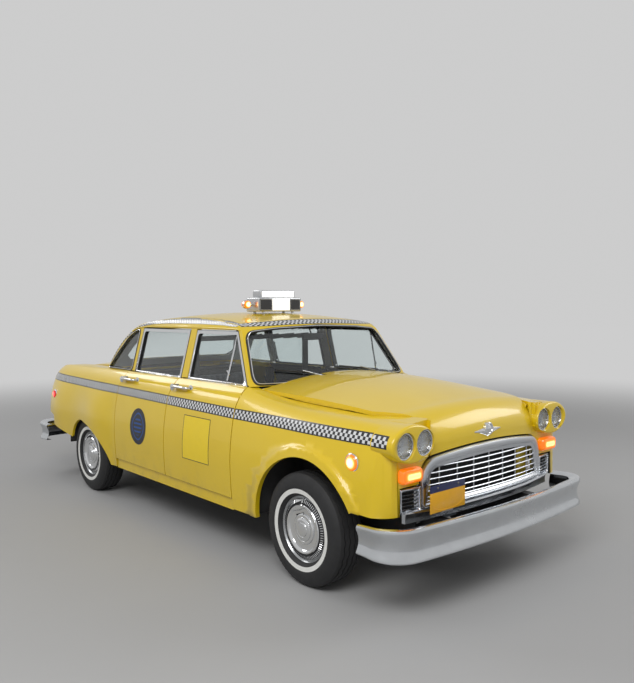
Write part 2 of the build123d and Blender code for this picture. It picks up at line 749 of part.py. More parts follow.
with BuildPart() as trunk_lid:
    add(cross_hull(DECK_ROWS, deck_profile, 0))
    add(cross_hull(DECK_ROWS, deck_profile, HOOD_THICKNESS), mode=Mode.SUBTRACT)
    add(block((-LID_X, LID_X), (LID_FRONT, 3000), (LID_BOTTOM, 1300)), mode=Mode.INTERSECT)
save(trunk_lid.part, "trunk_lid")

with BuildPart() as rear_panels:
    with BuildPart(mode=Mode.PRIVATE) as deck:
        add(cross_hull(DECK_ROWS, deck_profile, 0))
        add(cross_hull(DECK_ROWS, deck_profile, HOOD_THICKNESS), mode=Mode.SUBTRACT)
    with BuildPart(mode=Mode.PRIVATE) as tail:
        add(deck.part)
        add(block((-LID_X - PANEL_GAP + SEAT_GAP, LID_X + PANEL_GAP - SEAT_GAP), (2000, 3000), (DECK_FLOOR, TAIL_TOP)),
            mode=Mode.INTERSECT)
        add(block((-LATCH_X, LATCH_X), (TAIL_Y - 24, TAIL_Y - 6), (TAIL_TOP - 10, LID_BOTTOM - SEAT_GAP)))
    with BuildPart(mode=Mode.PRIVATE) as shelf_edge:
        add(deck.part)
        add(block((-LID_X - PANEL_GAP + SEAT_GAP, LID_X + PANEL_GAP - SEAT_GAP), (LID_FRONT - 100, LID_FRONT - PANEL_GAP),
                  (1000, 1300)), mode=Mode.INTERSECT)
        add(block((-500, 500), (LID_FRONT - 100, LID_FRONT - 94), (SHELF_Z + SEAT_GAP, 1125)))
        add(shell_outer, mode=Mode.SUBTRACT)
    add(tail.part)
    add(shelf_edge.part.solids().sort_by(SortBy.VOLUME)[-1])
save(rear_panels.part, "rear_panels")

# Grille, side grilles and valance

BAR = 9
FACE_BOW = 40
FACE_FRONT = NOSE_Y - 16


def bowed_slab(front, depth):
    """Upright slab whose faces bow back toward the fenders."""
    half = 800
    bow = FACE_BOW * (half / GRILLE_X) ** 2
    with BuildPart(mode=Mode.PRIVATE) as slab:
        with BuildSketch(Plane.XY.offset(400)):
            with BuildLine():
                ThreePointArc((-half, front + bow), (0, front), (half, front + bow))
                Line((half, front + bow), (half, front + bow + depth))
                ThreePointArc((half, front + bow + depth), (0, front + depth), (-half, front + bow + depth))
                Line((-half, front + bow + depth), (-half, front + bow))
            make_face()
        extrude(amount=700)
    return slab.part


with BuildPart() as grille:
    with BuildPart(mode=Mode.PRIVATE) as surround:
        add(grille_face(0, FACE_Y))
        add(grille_face(-GRILLE_BAND, FACE_Y), mode=Mode.SUBTRACT)
        add(bowed_slab(FACE_FRONT - 14, 50), mode=Mode.INTERSECT)
    with BuildPart(mode=Mode.PRIVATE) as bars:
        for level in range(6):
            z = 596 + level * 34
            add(block((-GRILLE_X, GRILLE_X), FACE_Y, (z - BAR / 2, z + BAR / 2)))
        for place in range(-3, 4):
            x = place * 146
            add(block((x - BAR / 2, x + BAR / 2), FACE_Y, (560, 830)))
        add(grille_face(-40, FACE_Y), mode=Mode.INTERSECT)
        add(bowed_slab(FACE_FRONT, 18), mode=Mode.INTERSECT)
    with BuildPart(mode=Mode.PRIVATE) as sides:
        for side in (-1, 1):
            inner = side * (GRILLE_X - 4)
            outer = side * SIDE_GRILLE_X
            add(block((inner, outer), FACE_Y, (GRILLE_BOTTOM - 9, SIDE_GRILLE_TOP)))
            add(block((side * (GRILLE_X + 8), side * (SIDE_GRILLE_X - 12)), FACE_Y, (GRILLE_BOTTOM + 4, SIDE_GRILLE_TOP - 12)),
                mode=Mode.SUBTRACT)
            for level in range(5):
                z = 570 + level * 20
                add(block((inner, outer), FACE_Y, (z - 4, z + 4)))
        add(bowed_slab(FACE_FRONT, 26), mode=Mode.INTERSECT)
    with BuildPart(mode=Mode.PRIVATE) as valance:
        add(block((-700, 700), FACE_Y, (478, GRILLE_BOTTOM - 4)))
        add(bowed_slab(FACE_FRONT - 6, 34), mode=Mode.INTERSECT)
        for side in (-1, 1):
            add(block((side * (RAIL_X[0] + 8), side * (RAIL_X[1] - 8)), (NOSE_Y + 4, NOSE_Y + 30),
                      (HORN_TOP + SEAT_GAP, 484)))
    add(surround.part)
    add(bars.part)
    add(sides.part)
    add(valance.part)
save(grille.part, "grille")

# Lamps

HEADLAMPS = ((596, 922), (753, 919))
LENS_RADIUS = 71
POD_X = 690
POD_RADII = (175, 106)
POD_DEPTH = 52
FACE_WALL = NOSE_Y + FACE_SETBACK


def lamp(x, z, y, radius):
    """Round lamp that faces the nose."""
    return rod((x, max(y), z), (x, min(y), z), radius)


def marker_lamp(y, z, radius, face_x, skin):
    """Round side lamp on the left, seated on a skin."""
    with BuildPart(mode=Mode.PRIVATE) as marker:
        add(rod((face_x - 60, y, z), (face_x, y, z), radius))
        add(skin, mode=Mode.SUBTRACT)
    return marker.part


with BuildPart() as left_bezel:
    with BuildSketch(Plane.XZ.offset(-FACE_WALL - 110)):
        with Locations((POD_X, 924)):
            Ellipse(*POD_RADII)
    extrude(amount=110 + POD_DEPTH)
    fillet(left_bezel.edges().filter_by(GeomType.ELLIPSE).sort_by(Axis.Y)[0], 16)
    for x, z in HEADLAMPS:
        add(lamp(x, z, (FACE_WALL - 100, FACE_WALL + 40), LENS_RADIUS + 4), mode=Mode.SUBTRACT)
    add(fender_solid, mode=Mode.SUBTRACT)

left_pod = left_bezel.part.solids().sort_by(SortBy.VOLUME)[-1]

with BuildPart() as lamp_bezels:
    add(left_pod)
    add(mirrored(left_pod))
save(lamp_bezels.part, "lamp_bezels")

with BuildPart() as headlamps:
    for side in (-1, 1):
        for x, z in HEADLAMPS:
            with BuildPart(mode=Mode.PRIVATE) as lens:
                add(lamp(side * x, z, (FACE_WALL - 40, FACE_WALL - SEAT_GAP), LENS_RADIUS + 4 - SEAT_GAP))
                fillet(lens.edges().filter_by(GeomType.CIRCLE).sort_by(Axis.Y)[0], 12)
            add(lens.part)
save(headlamps.part, "headlamps")

with BuildPart() as amber_lamps:
    for side in (-1, 1):
        x = side * 681
        with BuildPart(mode=Mode.PRIVATE) as signal:
            add(block((x - 82, x + 82), (FACE_WALL - 40, FACE_WALL - SEAT_GAP), (706, 792)))
            fillet(signal.edges().filter_by(Axis.Y), 20)
        add(signal.part)
    marker = marker_lamp(FRONT_AXLE - 459, 812, 46, HALF_WIDTH + 4, fender_solid)
    add(marker)
    add(mirrored(marker))
save(amber_lamps.part, "amber_lamps")

with BuildPart() as red_lamps:
    for side in (-1, 1):
        for z in (760, 900):
            add(rod((side * 730, TAIL_Y + SEAT_GAP, z), (side * 730, TAIL_Y + 34, z), 58))
    marker = marker_lamp(TAIL_Y - 256, 828, 40, HALF_WIDTH + 14, quarter_hull)
    add(marker)
    add(mirrored(marker))
save(red_lamps.part, "red_lamps")

# Bumpers

def bumper_plan(set_in, end_y):
    """Filled plan of the front bumper's face, set in by a depth."""
    side = BUMPER_X - set_in
    front = BUMPER_FRONT_Y + set_in
    with BuildSketch(Plane.XY, mode=Mode.PRIVATE) as plan:
        with BuildLine():
            Line((-side, end_y), (-side, front + 270))
            ThreePointArc((-side, front + 270), (-side + 38, front + 118), (-side + 165, front + 46))
            ThreePointArc((-side + 165, front + 46), (0, front), (side - 165, front + 46))
            ThreePointArc((side - 165, front + 46), (side - 38, front + 118), (side, front + 270))
            Line((side, front + 270), (side, end_y))
            Line((side, end_y), (-side, end_y))
        make_face()
    return plan.sketch


BUMPER_X = 965
BUMPER_Z = 336
BUMPER_HEIGHT = 182
BUMPER_WALL = 14
BAND_INSET = 16
REAR_WRAP = 110


def bumper(end_y):
    """Front bumper: two rolled lips with a hollow band between them."""
    # Columns: foot, height, how far the face is set in
    bands = ((0, 62, 0), (60, 62, BAND_INSET), (120, 62, 0))
    with BuildPart(mode=Mode.PRIVATE) as bar:
        for foot, height, set_in in bands:
            with BuildPart(mode=Mode.PRIVATE) as band:
                extrude(bumper_plan(set_in, end_y).moved(Location((0, 0, BUMPER_Z + foot))), amount=height)
                outer = band.edges().filter_by(lambda edge: abs(edge.center().Y - end_y) > 1)
                flat = outer.filter_by(lambda edge: abs(edge.tangent_at(0.5).Z) < 0.1)
                if set_in == 0:
                    fillet(flat, 20)
            add(band.part)
        extrude(bumper_plan(BUMPER_WALL + BAND_INSET, end_y + 10).moved(Location((0, 0, BUMPER_Z + BUMPER_WALL))),
                amount=BUMPER_HEIGHT - 2 * BUMPER_WALL, mode=Mode.SUBTRACT)
        extrude(bumper_plan(90, end_y + 10).moved(Location((0, 0, BUMPER_Z - 10))),
                amount=BUMPER_HEIGHT + 20, mode=Mode.SUBTRACT)
    return bar.part


save(bumper(NOSE_Y + 150), "bumper_front")
with BuildPart() as bumper_rear:
    add(bumper(REAR_WRAP - TAIL_Y))
    mirror(about=Plane.XZ, mode=Mode.REPLACE)
save(bumper_rear.part, "bumper_rear")

# Frame: two rails, kicked up over the rear axle, and their cross members

PAD_Z = 205

rail = (
    (BUMPER_FRONT_Y + 20, HORN_TOP - 64),
    (BUMPER_FRONT_Y + 20, HORN_TOP),
    (NOSE_Y + 60, HORN_TOP),
    (FRONT_AXLE - 380, RAIL_TOP),
    (SEAT_PAN, RAIL_TOP),
    (SEAT_PAN + 190, KICK_Z[1]),
    (BUMPER_REAR_Y - 20, KICK_Z[1]),
    (BUMPER_REAR_Y - 20, KICK_Z[0]),
    (SEAT_PAN + 250, KICK_Z[0]),
    (SEAT_PAN + 50, FRAME_Z),
    (FRONT_AXLE - 350, FRAME_Z),
    (NOSE_Y + 20, HORN_TOP - 64),
)
CROSS_MEMBERS = (
    (FRONT_AXLE - 90, FRONT_AXLE + 90, FRAME_Z, 300),
    (SEAM_FRONT - 20, SEAM_FRONT + 60, FRAME_Z, 250),
    (SEAM_MIDDLE + 120, SEAM_MIDDLE + 200, FRAME_Z, 262),
    (REAR_AXLE + 330, REAR_AXLE + 390, KICK_Z[0], KICK_Z[1]),
    (TAIL_Y - 90, TAIL_Y - 30, KICK_Z[0], KICK_Z[1]),
)
PADS = ((SEAM_FRONT + 160, 1), (SEAM_FRONT + 160, -1), (SEAM_REAR - 160, 1), (SEAM_REAR - 160, -1))

BODY_MOUNTS = (
    (SEAM_FRONT + 80, RAIL_TOP, FLOOR_Z),
    (SEAM_MIDDLE - 60, RAIL_TOP, FLOOR_Z),
    (SEAM_REAR - 100, RAIL_TOP, FLOOR_Z),
    (REAR_AXLE - 120, KICK_Z[1], TRUNK_FLOOR_Z - SHEET),
    (REAR_AXLE + 560, KICK_Z[1], TRUNK_FLOOR_Z - SHEET),
)

with BuildPart() as bumper_room:
    add(block((-1000, 1000), (BUMPER_FRONT_Y - 60, NOSE_Y - 60), (BUMPER_Z - 10, BUMPER_Z + BUMPER_HEIGHT + 10)))
    extrude(bumper_plan(BUMPER_WALL + BAND_INSET + SEAT_GAP, NOSE_Y + 150).moved(Location((0, 0, BUMPER_Z - 20))),
            amount=BUMPER_HEIGHT + 40, mode=Mode.SUBTRACT)

with BuildPart() as rear_bumper_room:
    add(bumper_room.part)
    mirror(about=Plane.XZ, mode=Mode.REPLACE)

with BuildPart() as frame:
    for side in (-1, 1):
        add(side_prism(rail, (side * RAIL_X[0], side * RAIL_X[1])))
        for y, low, high in BODY_MOUNTS:
            x = side * sum(RAIL_X) / 2
            add(rod((x, y, low - 5), (x, y, high - SEAT_GAP), 26))
    add(bumper_room.part, mode=Mode.SUBTRACT)
    add(rear_bumper_room.part, mode=Mode.SUBTRACT)
    for front, back, low, high in CROSS_MEMBERS:
        add(block((-RAIL_X[0] - 5, RAIL_X[0] + 5), (front, back), (low, high)))
    for y, side in PADS:
        x = side * sum(RAIL_X) / 2
        add(block((x - 40, x + 40), (y - 40, y + 40), (PAD_Z, FRAME_Z + 5)))
save(frame.part, "frame")

# Floor with its tunnel and the two sills

TUNNEL_X = 120
TUNNEL_TOP = 440
SILL_X = (HALF_WIDTH - 146, HALF_WIDTH - 28)

with BuildPart() as floor_pan:
    add(block((-SILL_X[0] - 5, SILL_X[0] + 5), (BULKHEAD_Y + SEAT_GAP, SEAT_PAN), (FLOOR_Z, FLOOR_Z + SHEET)))
    add(block((-TUNNEL_X, TUNNEL_X), (BULKHEAD_Y + SEAT_GAP, SEAT_PAN), (FLOOR_Z, TUNNEL_TOP)))
    add(block((-TUNNEL_X + SHEET, TUNNEL_X - SHEET), (SEAM_FRONT - 40, SEAT_PAN + 10), (FLOOR_Z - 10, TUNNEL_TOP - SHEET)),
        mode=Mode.SUBTRACT)
    for side in (-1, 1):
        add(block((side * SILL_X[0], side * SILL_X[1]), (SEAM_FRONT, SEAM_REAR), (ROCKER_BOTTOM, ROCKER_TOP)))
        add(block((side * (SILL_X[0] + 10), side * (SILL_X[1] - 10)), (SEAM_FRONT - 10, SEAM_REAR + 10),
                  (ROCKER_BOTTOM + 10, ROCKER_TOP - 10)), mode=Mode.SUBTRACT)
save(floor_pan.part, "floor_pan")

# Engine bay: bulkhead, inner wings and radiator support

APRON_X = (500, 512)
SPLASH_Y = FRONT_AXLE + 452
RADIATOR_Y = NOSE_Y + 165
WING_TOP = 900

with BuildPart() as engine_bay:
    with BuildPart(mode=Mode.PRIVATE) as bulkhead_top:
        add(block((-700, 700), (BULKHEAD_Y - SHEET, BULKHEAD_Y), (900, 1300)))
        add(block((-LATCH_X, LATCH_X), (RADIATOR_Y, RADIATOR_Y + 14), (900, 1300)))
        add(cross_hull(HOOD_ROWS, hood_profile, HOOD_THICKNESS + SEAT_GAP), mode=Mode.INTERSECT)
    add(bulkhead_top.part)
    add(block((-700, 700), (BULKHEAD_Y - SHEET, BULKHEAD_Y), (FLOOR_Z - 4, 960)))
    add(block((-TUNNEL_X + SHEET, TUNNEL_X - SHEET), (BULKHEAD_Y - 30, BULKHEAD_Y + 20), (0, TUNNEL_TOP - SHEET)),
        mode=Mode.SUBTRACT)
    for side in (-1, 1):
        add(block((side * APRON_X[0], side * APRON_X[1]), (NOSE_Y + 130, BULKHEAD_Y), (RAIL_TOP + 10, WING_TOP)))
        add(block((side * APRON_X[0], side * 640), (NOSE_Y + 330, BULKHEAD_Y), (WING_TOP - SHEET, WING_TOP)))
        add(block((side * 634, side * 640), (NOSE_Y + 330, BULKHEAD_Y), (WING_TOP - SHEET, 1000)))
        add(block((side * (APRON_X[0] - 10), side * (APRON_X[1] + 10)), (FRONT_AXLE - 135, FRONT_AXLE + 135), (RAIL_TOP, 530)),
            mode=Mode.SUBTRACT)
        add(block((side * RAIL_X[0], side * APRON_X[1]), (SEAM_FRONT - 200, SEAM_FRONT - 100),
                  (RAIL_TOP + SEAT_GAP, RAIL_TOP + 14)))
    with BuildPart(mode=Mode.PRIVATE) as splash:
        add(block((APRON_X[0], 1000), (SPLASH_Y, SPLASH_Y + SHEET), (RAIL_TOP + 10, 1300)))
        add(flank_hull(FENDER_STATIONS, SKIN + SEAT_GAP, 380), mode=Mode.INTERSECT)
        add(block((640, 1000), (SPLASH_Y - 1, SPLASH_Y + SHEET + 1), (980, 1300)), mode=Mode.SUBTRACT)
        add(block((0, 640), (SPLASH_Y - 1, SPLASH_Y + SHEET + 1), (WING_TOP, 1300)), mode=Mode.SUBTRACT)
    add(splash.part)
    add(mirrored(splash.part))
    add(block((-APRON_X[1], APRON_X[1]), (RADIATOR_Y, RADIATOR_Y + 14), (480, 985)))
    add(block((-300, 300), (RADIATOR_Y - 5, RADIATOR_Y + 20), (520, 940)), mode=Mode.SUBTRACT)
    add(block((-310, 310), (RADIATOR_Y - 3, RADIATOR_Y + 52), (512, 948)))
    for side in (-1, 1):
        add(block((side * RAIL_X[0], side * APRON_X[1]), (RADIATOR_Y - 10, RADIATOR_Y + 14), (466 + SEAT_GAP, 490)))
save(engine_bay.part, "engine_bay")

# Rear floor: seat pan, bulkhead, parcel shelf, boot floor and wheelhouses

SEATBACK_Y = REAR_AXLE - 240
WHEELHOUSE_X = (645, 1000)
WHEELHOUSE_RADIUS = 412
inner_quarter = flank_hull(QUARTER_STATIONS, SKIN + SEAT_GAP, 380)
BOOT_END = TAIL_Y - 100

with BuildPart() as rear_floor:
    add(block((-WHEELHOUSE_X[0], WHEELHOUSE_X[0]), (SEAT_PAN + SEAT_GAP, SEAT_PAN + SHEET), (FLOOR_Z, TRUNK_FLOOR_Z)))
    with BuildPart(mode=Mode.PRIVATE) as boot:
        add(block((-WHEELHOUSE_X[0], WHEELHOUSE_X[0]), (REAR_AXLE, TAIL_Y), (TRUNK_FLOOR_Z - SHEET, TRUNK_FLOOR_Z)))
        add(cross_hull(DECK_ROWS, deck_profile, HOOD_THICKNESS + SEAT_GAP), mode=Mode.INTERSECT)
    add(boot.part)
    add(block((-WHEELHOUSE_X[0], WHEELHOUSE_X[0]), (SEAT_PAN + SEAT_GAP, REAR_AXLE + 5), (TRUNK_FLOOR_Z - SHEET, TRUNK_FLOOR_Z)))
    add(block((-WHEELHOUSE_X[0] - 5, WHEELHOUSE_X[0] + 5), (SEATBACK_Y, SEATBACK_Y + SHEET), (TRUNK_FLOOR_Z - SHEET, SHELF_Z)))
    add(block((-TUNNEL_X, TUNNEL_X), (SEAT_PAN - 1, SEAT_PAN + SHEET + 1), (0, TUNNEL_TOP)), mode=Mode.SUBTRACT)
    add(block((-660, 660), (SEATBACK_Y, LID_FRONT - 60), (SHELF_Z - SHEET, SHELF_Z)))
    for side in (-1, 1):
        with BuildPart(mode=Mode.PRIVATE) as house:
            near = side * WHEELHOUSE_X[0]
            far = side * WHEELHOUSE_X[1]
            add(rod((near, REAR_AXLE, HUB_Z), (far, REAR_AXLE, HUB_Z), WHEELHOUSE_RADIUS))
            add(rod((near + side * SHEET, REAR_AXLE, HUB_Z), (far + side * 20, REAR_AXLE, HUB_Z), WHEELHOUSE_RADIUS - SHEET),
                mode=Mode.SUBTRACT)
            add(block((side * 500, side * 1000), (0, 3000), (-200, HUB_Z + AXLE_TUBE + 10)), mode=Mode.SUBTRACT)
            add(inner_quarter if side > 0 else mirrored(inner_quarter), mode=Mode.INTERSECT)
        add(house.part)
        add(block((near, side * 800), (REAR_AXLE + WHEELHOUSE_RADIUS - 30, BOOT_END), (TRUNK_FLOOR_Z - SHEET, TRUNK_FLOOR_Z)))
save(rear_floor.part, "rear_floor")

# Posts below the windows

POST_X = (706, 764)
POST_REACH = 24
STRIKER_Z = (690, 750)
post_foot = FLOOR_Z + SHEET + SEAT_GAP

# Columns: front, back, top
POSTS = (
    (BULKHEAD_Y + SEAT_GAP, SEAM_FRONT + POST_REACH, HOOD_REAR_EDGE_Z),
    (SEAM_FRONT + PANEL_GAP / 2, SEAM_FRONT + 10, POST_FOOT_Z - SEAT_GAP),
    (SEAM_MIDDLE - POST_REACH, SEAM_MIDDLE + POST_REACH, BELT_Z - 20),
    (SEAM_MIDDLE - POST_REACH, SEAM_MIDDLE - 6, POST_FOOT_Z - SEAT_GAP),
    (SEAM_REAR - POST_REACH, SEAM_REAR + 40, BEAM_Z - SEAT_GAP),
)

with BuildPart() as pillars:
    for side in (-1, 1):
        for near, far, top in POSTS:
            add(block((side * POST_X[0], side * POST_X[1]), (near, far), (post_foot, top)))
    with BuildPart(mode=Mode.PRIVATE) as strikers:
        for seam in (SEAM_MIDDLE, SEAM_REAR):
            add(block((POST_X[1] - 5, 1000), (seam - POST_REACH, seam - POST_REACH + 12), STRIKER_Z))
        for seam in (SEAM_MIDDLE, SEAM_REAR):
            add(side_wall((seam - 60, seam + 60), -200, DOOR_LIP + 1 + SEAT_GAP), mode=Mode.SUBTRACT)
    add(strikers.part)
    add(mirrored(strikers.part))
save(pillars.part, "pillars")

# Running gear

with BuildPart() as engine:
    add(block((-280, 280), (FRONT_AXLE - 330, SEAM_FRONT - 270), (345, 930)))
    add(block((-150, 150), (FRONT_AXLE - 330, SEAM_FRONT - 270), (300 + SEAT_GAP, 350)))
save(engine.part, "engine")

SPINDLE_RADIUS = 17.6
HUB_BORE = 18

with BuildPart() as driveline:
    add(rod((0, SEAM_FRONT - 270 + SEAT_GAP, 350), (0, SEAM_FRONT - 90, 350), 165))
    add(rod((0, SEAM_FRONT - 100, 345), (0, SEAM_FRONT + 330, 325), 84))
    add(rod((0, SEAM_FRONT + 320, 322), (0, REAR_AXLE - 120, HUB_Z), 38))
    add(rod((0, REAR_AXLE - 190, HUB_Z), (0, REAR_AXLE + 120, HUB_Z), 118))
    add(rod((-700, REAR_AXLE, HUB_Z), (700, REAR_AXLE, HUB_Z), AXLE_TUBE))
    for side in (-1, 1):
        add(rod((side * 716, REAR_AXLE, HUB_Z), (side * 698, REAR_AXLE, HUB_Z), 150))
        add(rod((side * 700, REAR_AXLE, HUB_Z), (side * (REAR_TRACK / 2 + 10), REAR_AXLE, HUB_Z), SPINDLE_RADIUS))
        with BuildPart(mode=Mode.PRIVATE) as spring:
            with BuildSketch(Plane.YZ.offset(side * 545 - 30)):
                with BuildLine():
                    near = (REAR_AXLE - 640, RAIL_TOP + 5)
                    far = (REAR_AXLE + 640, 440)
                    ThreePointArc(near, (REAR_AXLE, HUB_Z - 52), far)
                    Line(far, (far[0], far[1] - 26))
                    ThreePointArc((far[0], far[1] - 26), (REAR_AXLE, HUB_Z - 92), (near[0], near[1] - 26))
                    Line((near[0], near[1] - 26), near)
                make_face()
            extrude(amount=60)
        add(spring.part)
        add(block((side * 510, side * 580), (REAR_AXLE - 50, REAR_AXLE + 50), (HUB_Z - 60, HUB_Z - 20)))
save(driveline.part, "driveline")

with BuildPart() as exhaust:
    pipe_z = FRAME_Z - 28
    add(rod((-300, SEAM_FRONT - 120, pipe_z), (-300, SEAM_MIDDLE + 260, pipe_z), 24))
    add(rod((-300, SEAM_MIDDLE + 250, pipe_z + 10), (-300, SEAM_REAR - 150, pipe_z + 10), 66))
    add(rod((-300, SEAM_REAR - 160, pipe_z + 10), (-300, TAIL_Y + 60, pipe_z + 50), 22))
    add(block((-312, -288), (SEAM_MIDDLE + 145, SEAM_MIDDLE + 175), (pipe_z, FRAME_Z - SEAT_GAP)))
save(exhaust.part, "exhaust")

KINGPIN_Z = (262, 418)

with BuildPart() as front_suspension:
    for side in (-1, 1):
        for low, high, root in ((235, 255, RAIL_X[1] + SEAT_GAP), (425, 440, 470)):
            outline = (
                (side * root, FRONT_AXLE - 120),
                (side * (KINGPIN_X + 4), FRONT_AXLE - 16),
                (side * (KINGPIN_X + 4), FRONT_AXLE + 16),
                (side * root, FRONT_AXLE + 120),
            )
            add(plan_prism(outline, (low, high)))
        add(rod((side * KINGPIN_X, FRONT_AXLE, 235), (side * KINGPIN_X, FRONT_AXLE, KINGPIN_Z[0] - SEAT_GAP), 20))
        add(rod((side * KINGPIN_X, FRONT_AXLE, 440), (side * KINGPIN_X, FRONT_AXLE, KINGPIN_Z[1] + SEAT_GAP), 20))
        add(rod((side * 560, FRONT_AXLE, 250), (side * 548, FRONT_AXLE, 500), 56))
        add(block((side * 400, side * 488), (FRONT_AXLE - 70, FRONT_AXLE + 70), (RAIL_TOP + SEAT_GAP, 500)))
        add(block((side * 440, side * 610), (FRONT_AXLE - 62, FRONT_AXLE + 62), (492, 510)))
save(front_suspension.part, "front_suspension")

with BuildPart() as fuel_tank:
    add(block((-350, 350), (REAR_AXLE + 400, TAIL_Y - 96), (345, TRUNK_FLOOR_Z - SHEET - SEAT_GAP)))
    fillet(fuel_tank.edges().filter_by(Axis.X), 30)
save(fuel_tank.part, "fuel_tank")

# Knuckles and wheels

BACK_PLATE_X = (FRONT_TRACK / 2 - 84, FRONT_TRACK / 2 - 73)

with BuildPart() as knuckle:
    add(rod((KINGPIN_X, FRONT_AXLE, KINGPIN_Z[0]), (KINGPIN_X, FRONT_AXLE, KINGPIN_Z[1]), 21))
    add(block((KINGPIN_X - 18, BACK_PLATE_X[1]), (FRONT_AXLE - 16, FRONT_AXLE + 16), (HUB_Z - 48, HUB_Z + 48)))
    add(rod((BACK_PLATE_X[0], FRONT_AXLE, HUB_Z), (BACK_PLATE_X[1], FRONT_AXLE, HUB_Z), 150))
    add(rod((KINGPIN_X, FRONT_AXLE, HUB_Z), (FRONT_TRACK / 2 + 10, FRONT_AXLE, HUB_Z), SPINDLE_RADIUS))
    add(block((KINGPIN_X - 18, KINGPIN_X + 10), (FRONT_AXLE, FRONT_AXLE + 150), (HUB_Z - 40, HUB_Z - 22)))
save(knuckle.part, "knuckle_left")
save(mirrored(knuckle.part), "knuckle_right")

# Wheel cover: columns are distance from the hub and height off the wheel's middle
COVER = (
    (189, 66), (183, 72), (158, 86), (149, 84), (141, 90), (131, 88), (120, 78),
    (92, 74), (84, 82), (70, 84), (56, 92), (30, 95), (0, 96),
)


def revolved(outline):
    """Ring or disc about the wheel's axle from an outline in X and radius."""
    with BuildPart(mode=Mode.PRIVATE) as ring:
        with BuildSketch(Plane.XZ):
            with BuildLine():
                Polyline(*outline, close=True)
            make_face()
        revolve(axis=Axis.X)
    return ring.part


with BuildPart() as wheel:
    half = RIM_WIDTH / 2
    seat = RIM_RADIUS - SEAT_GAP
    add(revolved(((-half, seat - 16), (-half, seat + 8), (-half + 8, seat + 8), (-half + 8, seat), (half - 8, seat),
                  (half - 8, seat + 8), (half, seat + 8), (half, seat - 16))))
    add(revolved(((34, HUB_BORE), (34, seat - 10), (44, seat - 10), (44, HUB_BORE))))
    add(revolved(((-60, HUB_BORE), (-60, 45), (44, 45), (44, HUB_BORE))))
    add(revolved(((-66, 128), (-66, 140), (40, 140), (40, 128))))
    add(revolved(tuple((height, radius) for radius, height in COVER)
                 + tuple((height - 14, radius) for radius, height in reversed(COVER))))

with BuildPart() as tyre:
    with BuildSketch(Plane.XZ):
        with BuildLine():
            bead = (RIM_WIDTH / 2 - 10, RIM_RADIUS)
            lip = (RIM_WIDTH / 2 + 6, RIM_RADIUS + 9)
            shoulder = (TYRE_WIDTH / 2 - 18, TYRE_RADIUS - 18)
            tread = (TYRE_WIDTH / 2 - 40, TYRE_RADIUS - 1)
            Polyline((-bead[0], bead[1]), bead, (bead[0], RIM_RADIUS + 9), lip)
            ThreePointArc(lip, (TYRE_WIDTH / 2, RIM_RADIUS + 70), shoulder)
            ThreePointArc(shoulder, (TYRE_WIDTH / 2 - 26, TYRE_RADIUS - 6), tread)
            ThreePointArc(tread, (0, TYRE_RADIUS), (-tread[0], tread[1]))
            ThreePointArc((-tread[0], tread[1]), (-TYRE_WIDTH / 2 + 26, TYRE_RADIUS - 6), (-shoulder[0], shoulder[1]))
            ThreePointArc((-shoulder[0], shoulder[1]), (-TYRE_WIDTH / 2, RIM_RADIUS + 70), (-lip[0], lip[1]))
            Polyline((-lip[0], lip[1]), (-bead[0], RIM_RADIUS + 9), (-bead[0], bead[1]))
        make_face()
    revolve(axis=Axis.X)

CORNERS = (
    ("front_left", FRONT_TRACK / 2, FRONT_AXLE, 0),
    ("front_right", -FRONT_TRACK / 2, FRONT_AXLE, 180),
    ("rear_left", REAR_TRACK / 2, REAR_AXLE, 0),
    ("rear_right", -REAR_TRACK / 2, REAR_AXLE, 180),
)
for place, x, y, turn in CORNERS:
    there = Location((x, y, HUB_Z), (0, 0, turn))
    save(wheel.part.moved(there), f"wheel_{place}")
    save(tyre.part.moved(there), f"tyre_{place}")

# Cabin

SEAT_X = 640

with BuildPart() as front_seat:
    base = (
        (SEAM_MIDDLE - 500, TUNNEL_TOP + 12),
        (SEAM_MIDDLE - 520, 600),
        (SEAM_MIDDLE - 480, 640),
        (SEAM_MIDDLE - 60, 600),
        (SEAM_MIDDLE - 20, 980),
        (SEAM_MIDDLE + 30, 1030),
        (SEAM_MIDDLE + 78, 1010),
        (SEAM_MIDDLE + 60, 560),
        (SEAM_MIDDLE + 30, TUNNEL_TOP + 12),
    )
    add(side_prism(base, (-SEAT_X, SEAT_X)))
    fillet(front_seat.edges().filter_by(Axis.X), 16)
    for side in (-1, 1):
        add(block((side * 300, side * 560), (SEAM_MIDDLE - 420, SEAM_MIDDLE - 40), (FLOOR_Z + SHEET + SEAT_GAP, TUNNEL_TOP + 16)))
save(front_seat.part, "front_seat")

with BuildPart() as rear_seat:
    base = (
        (SEAT_PAN - 330, FLOOR_Z + SHEET + SEAT_GAP),
        (SEAT_PAN - 330, 620),
        (SEAT_PAN - 290, 650),
        (SEATBACK_Y - 200, 600),
        (SEATBACK_Y - 130, 1040),
        (SEATBACK_Y - 60, 1070),
        (SEATBACK_Y - 2, 1060),
        (SEATBACK_Y - 2, TRUNK_FLOOR_Z + SEAT_GAP),
        (SEAT_PAN - 2, TRUNK_FLOOR_Z + SEAT_GAP),
        (SEAT_PAN - 2, FLOOR_Z + SHEET + SEAT_GAP),
    )
    add(side_prism(base, (-SEAT_X + 10, SEAT_X - 10)))
    add(block((-TUNNEL_X - 4, TUNNEL_X + 4), (SEAT_PAN - 400, SEAT_PAN + 10), (0, TUNNEL_TOP + 4)), mode=Mode.SUBTRACT)
save(rear_seat.part, "rear_seat")

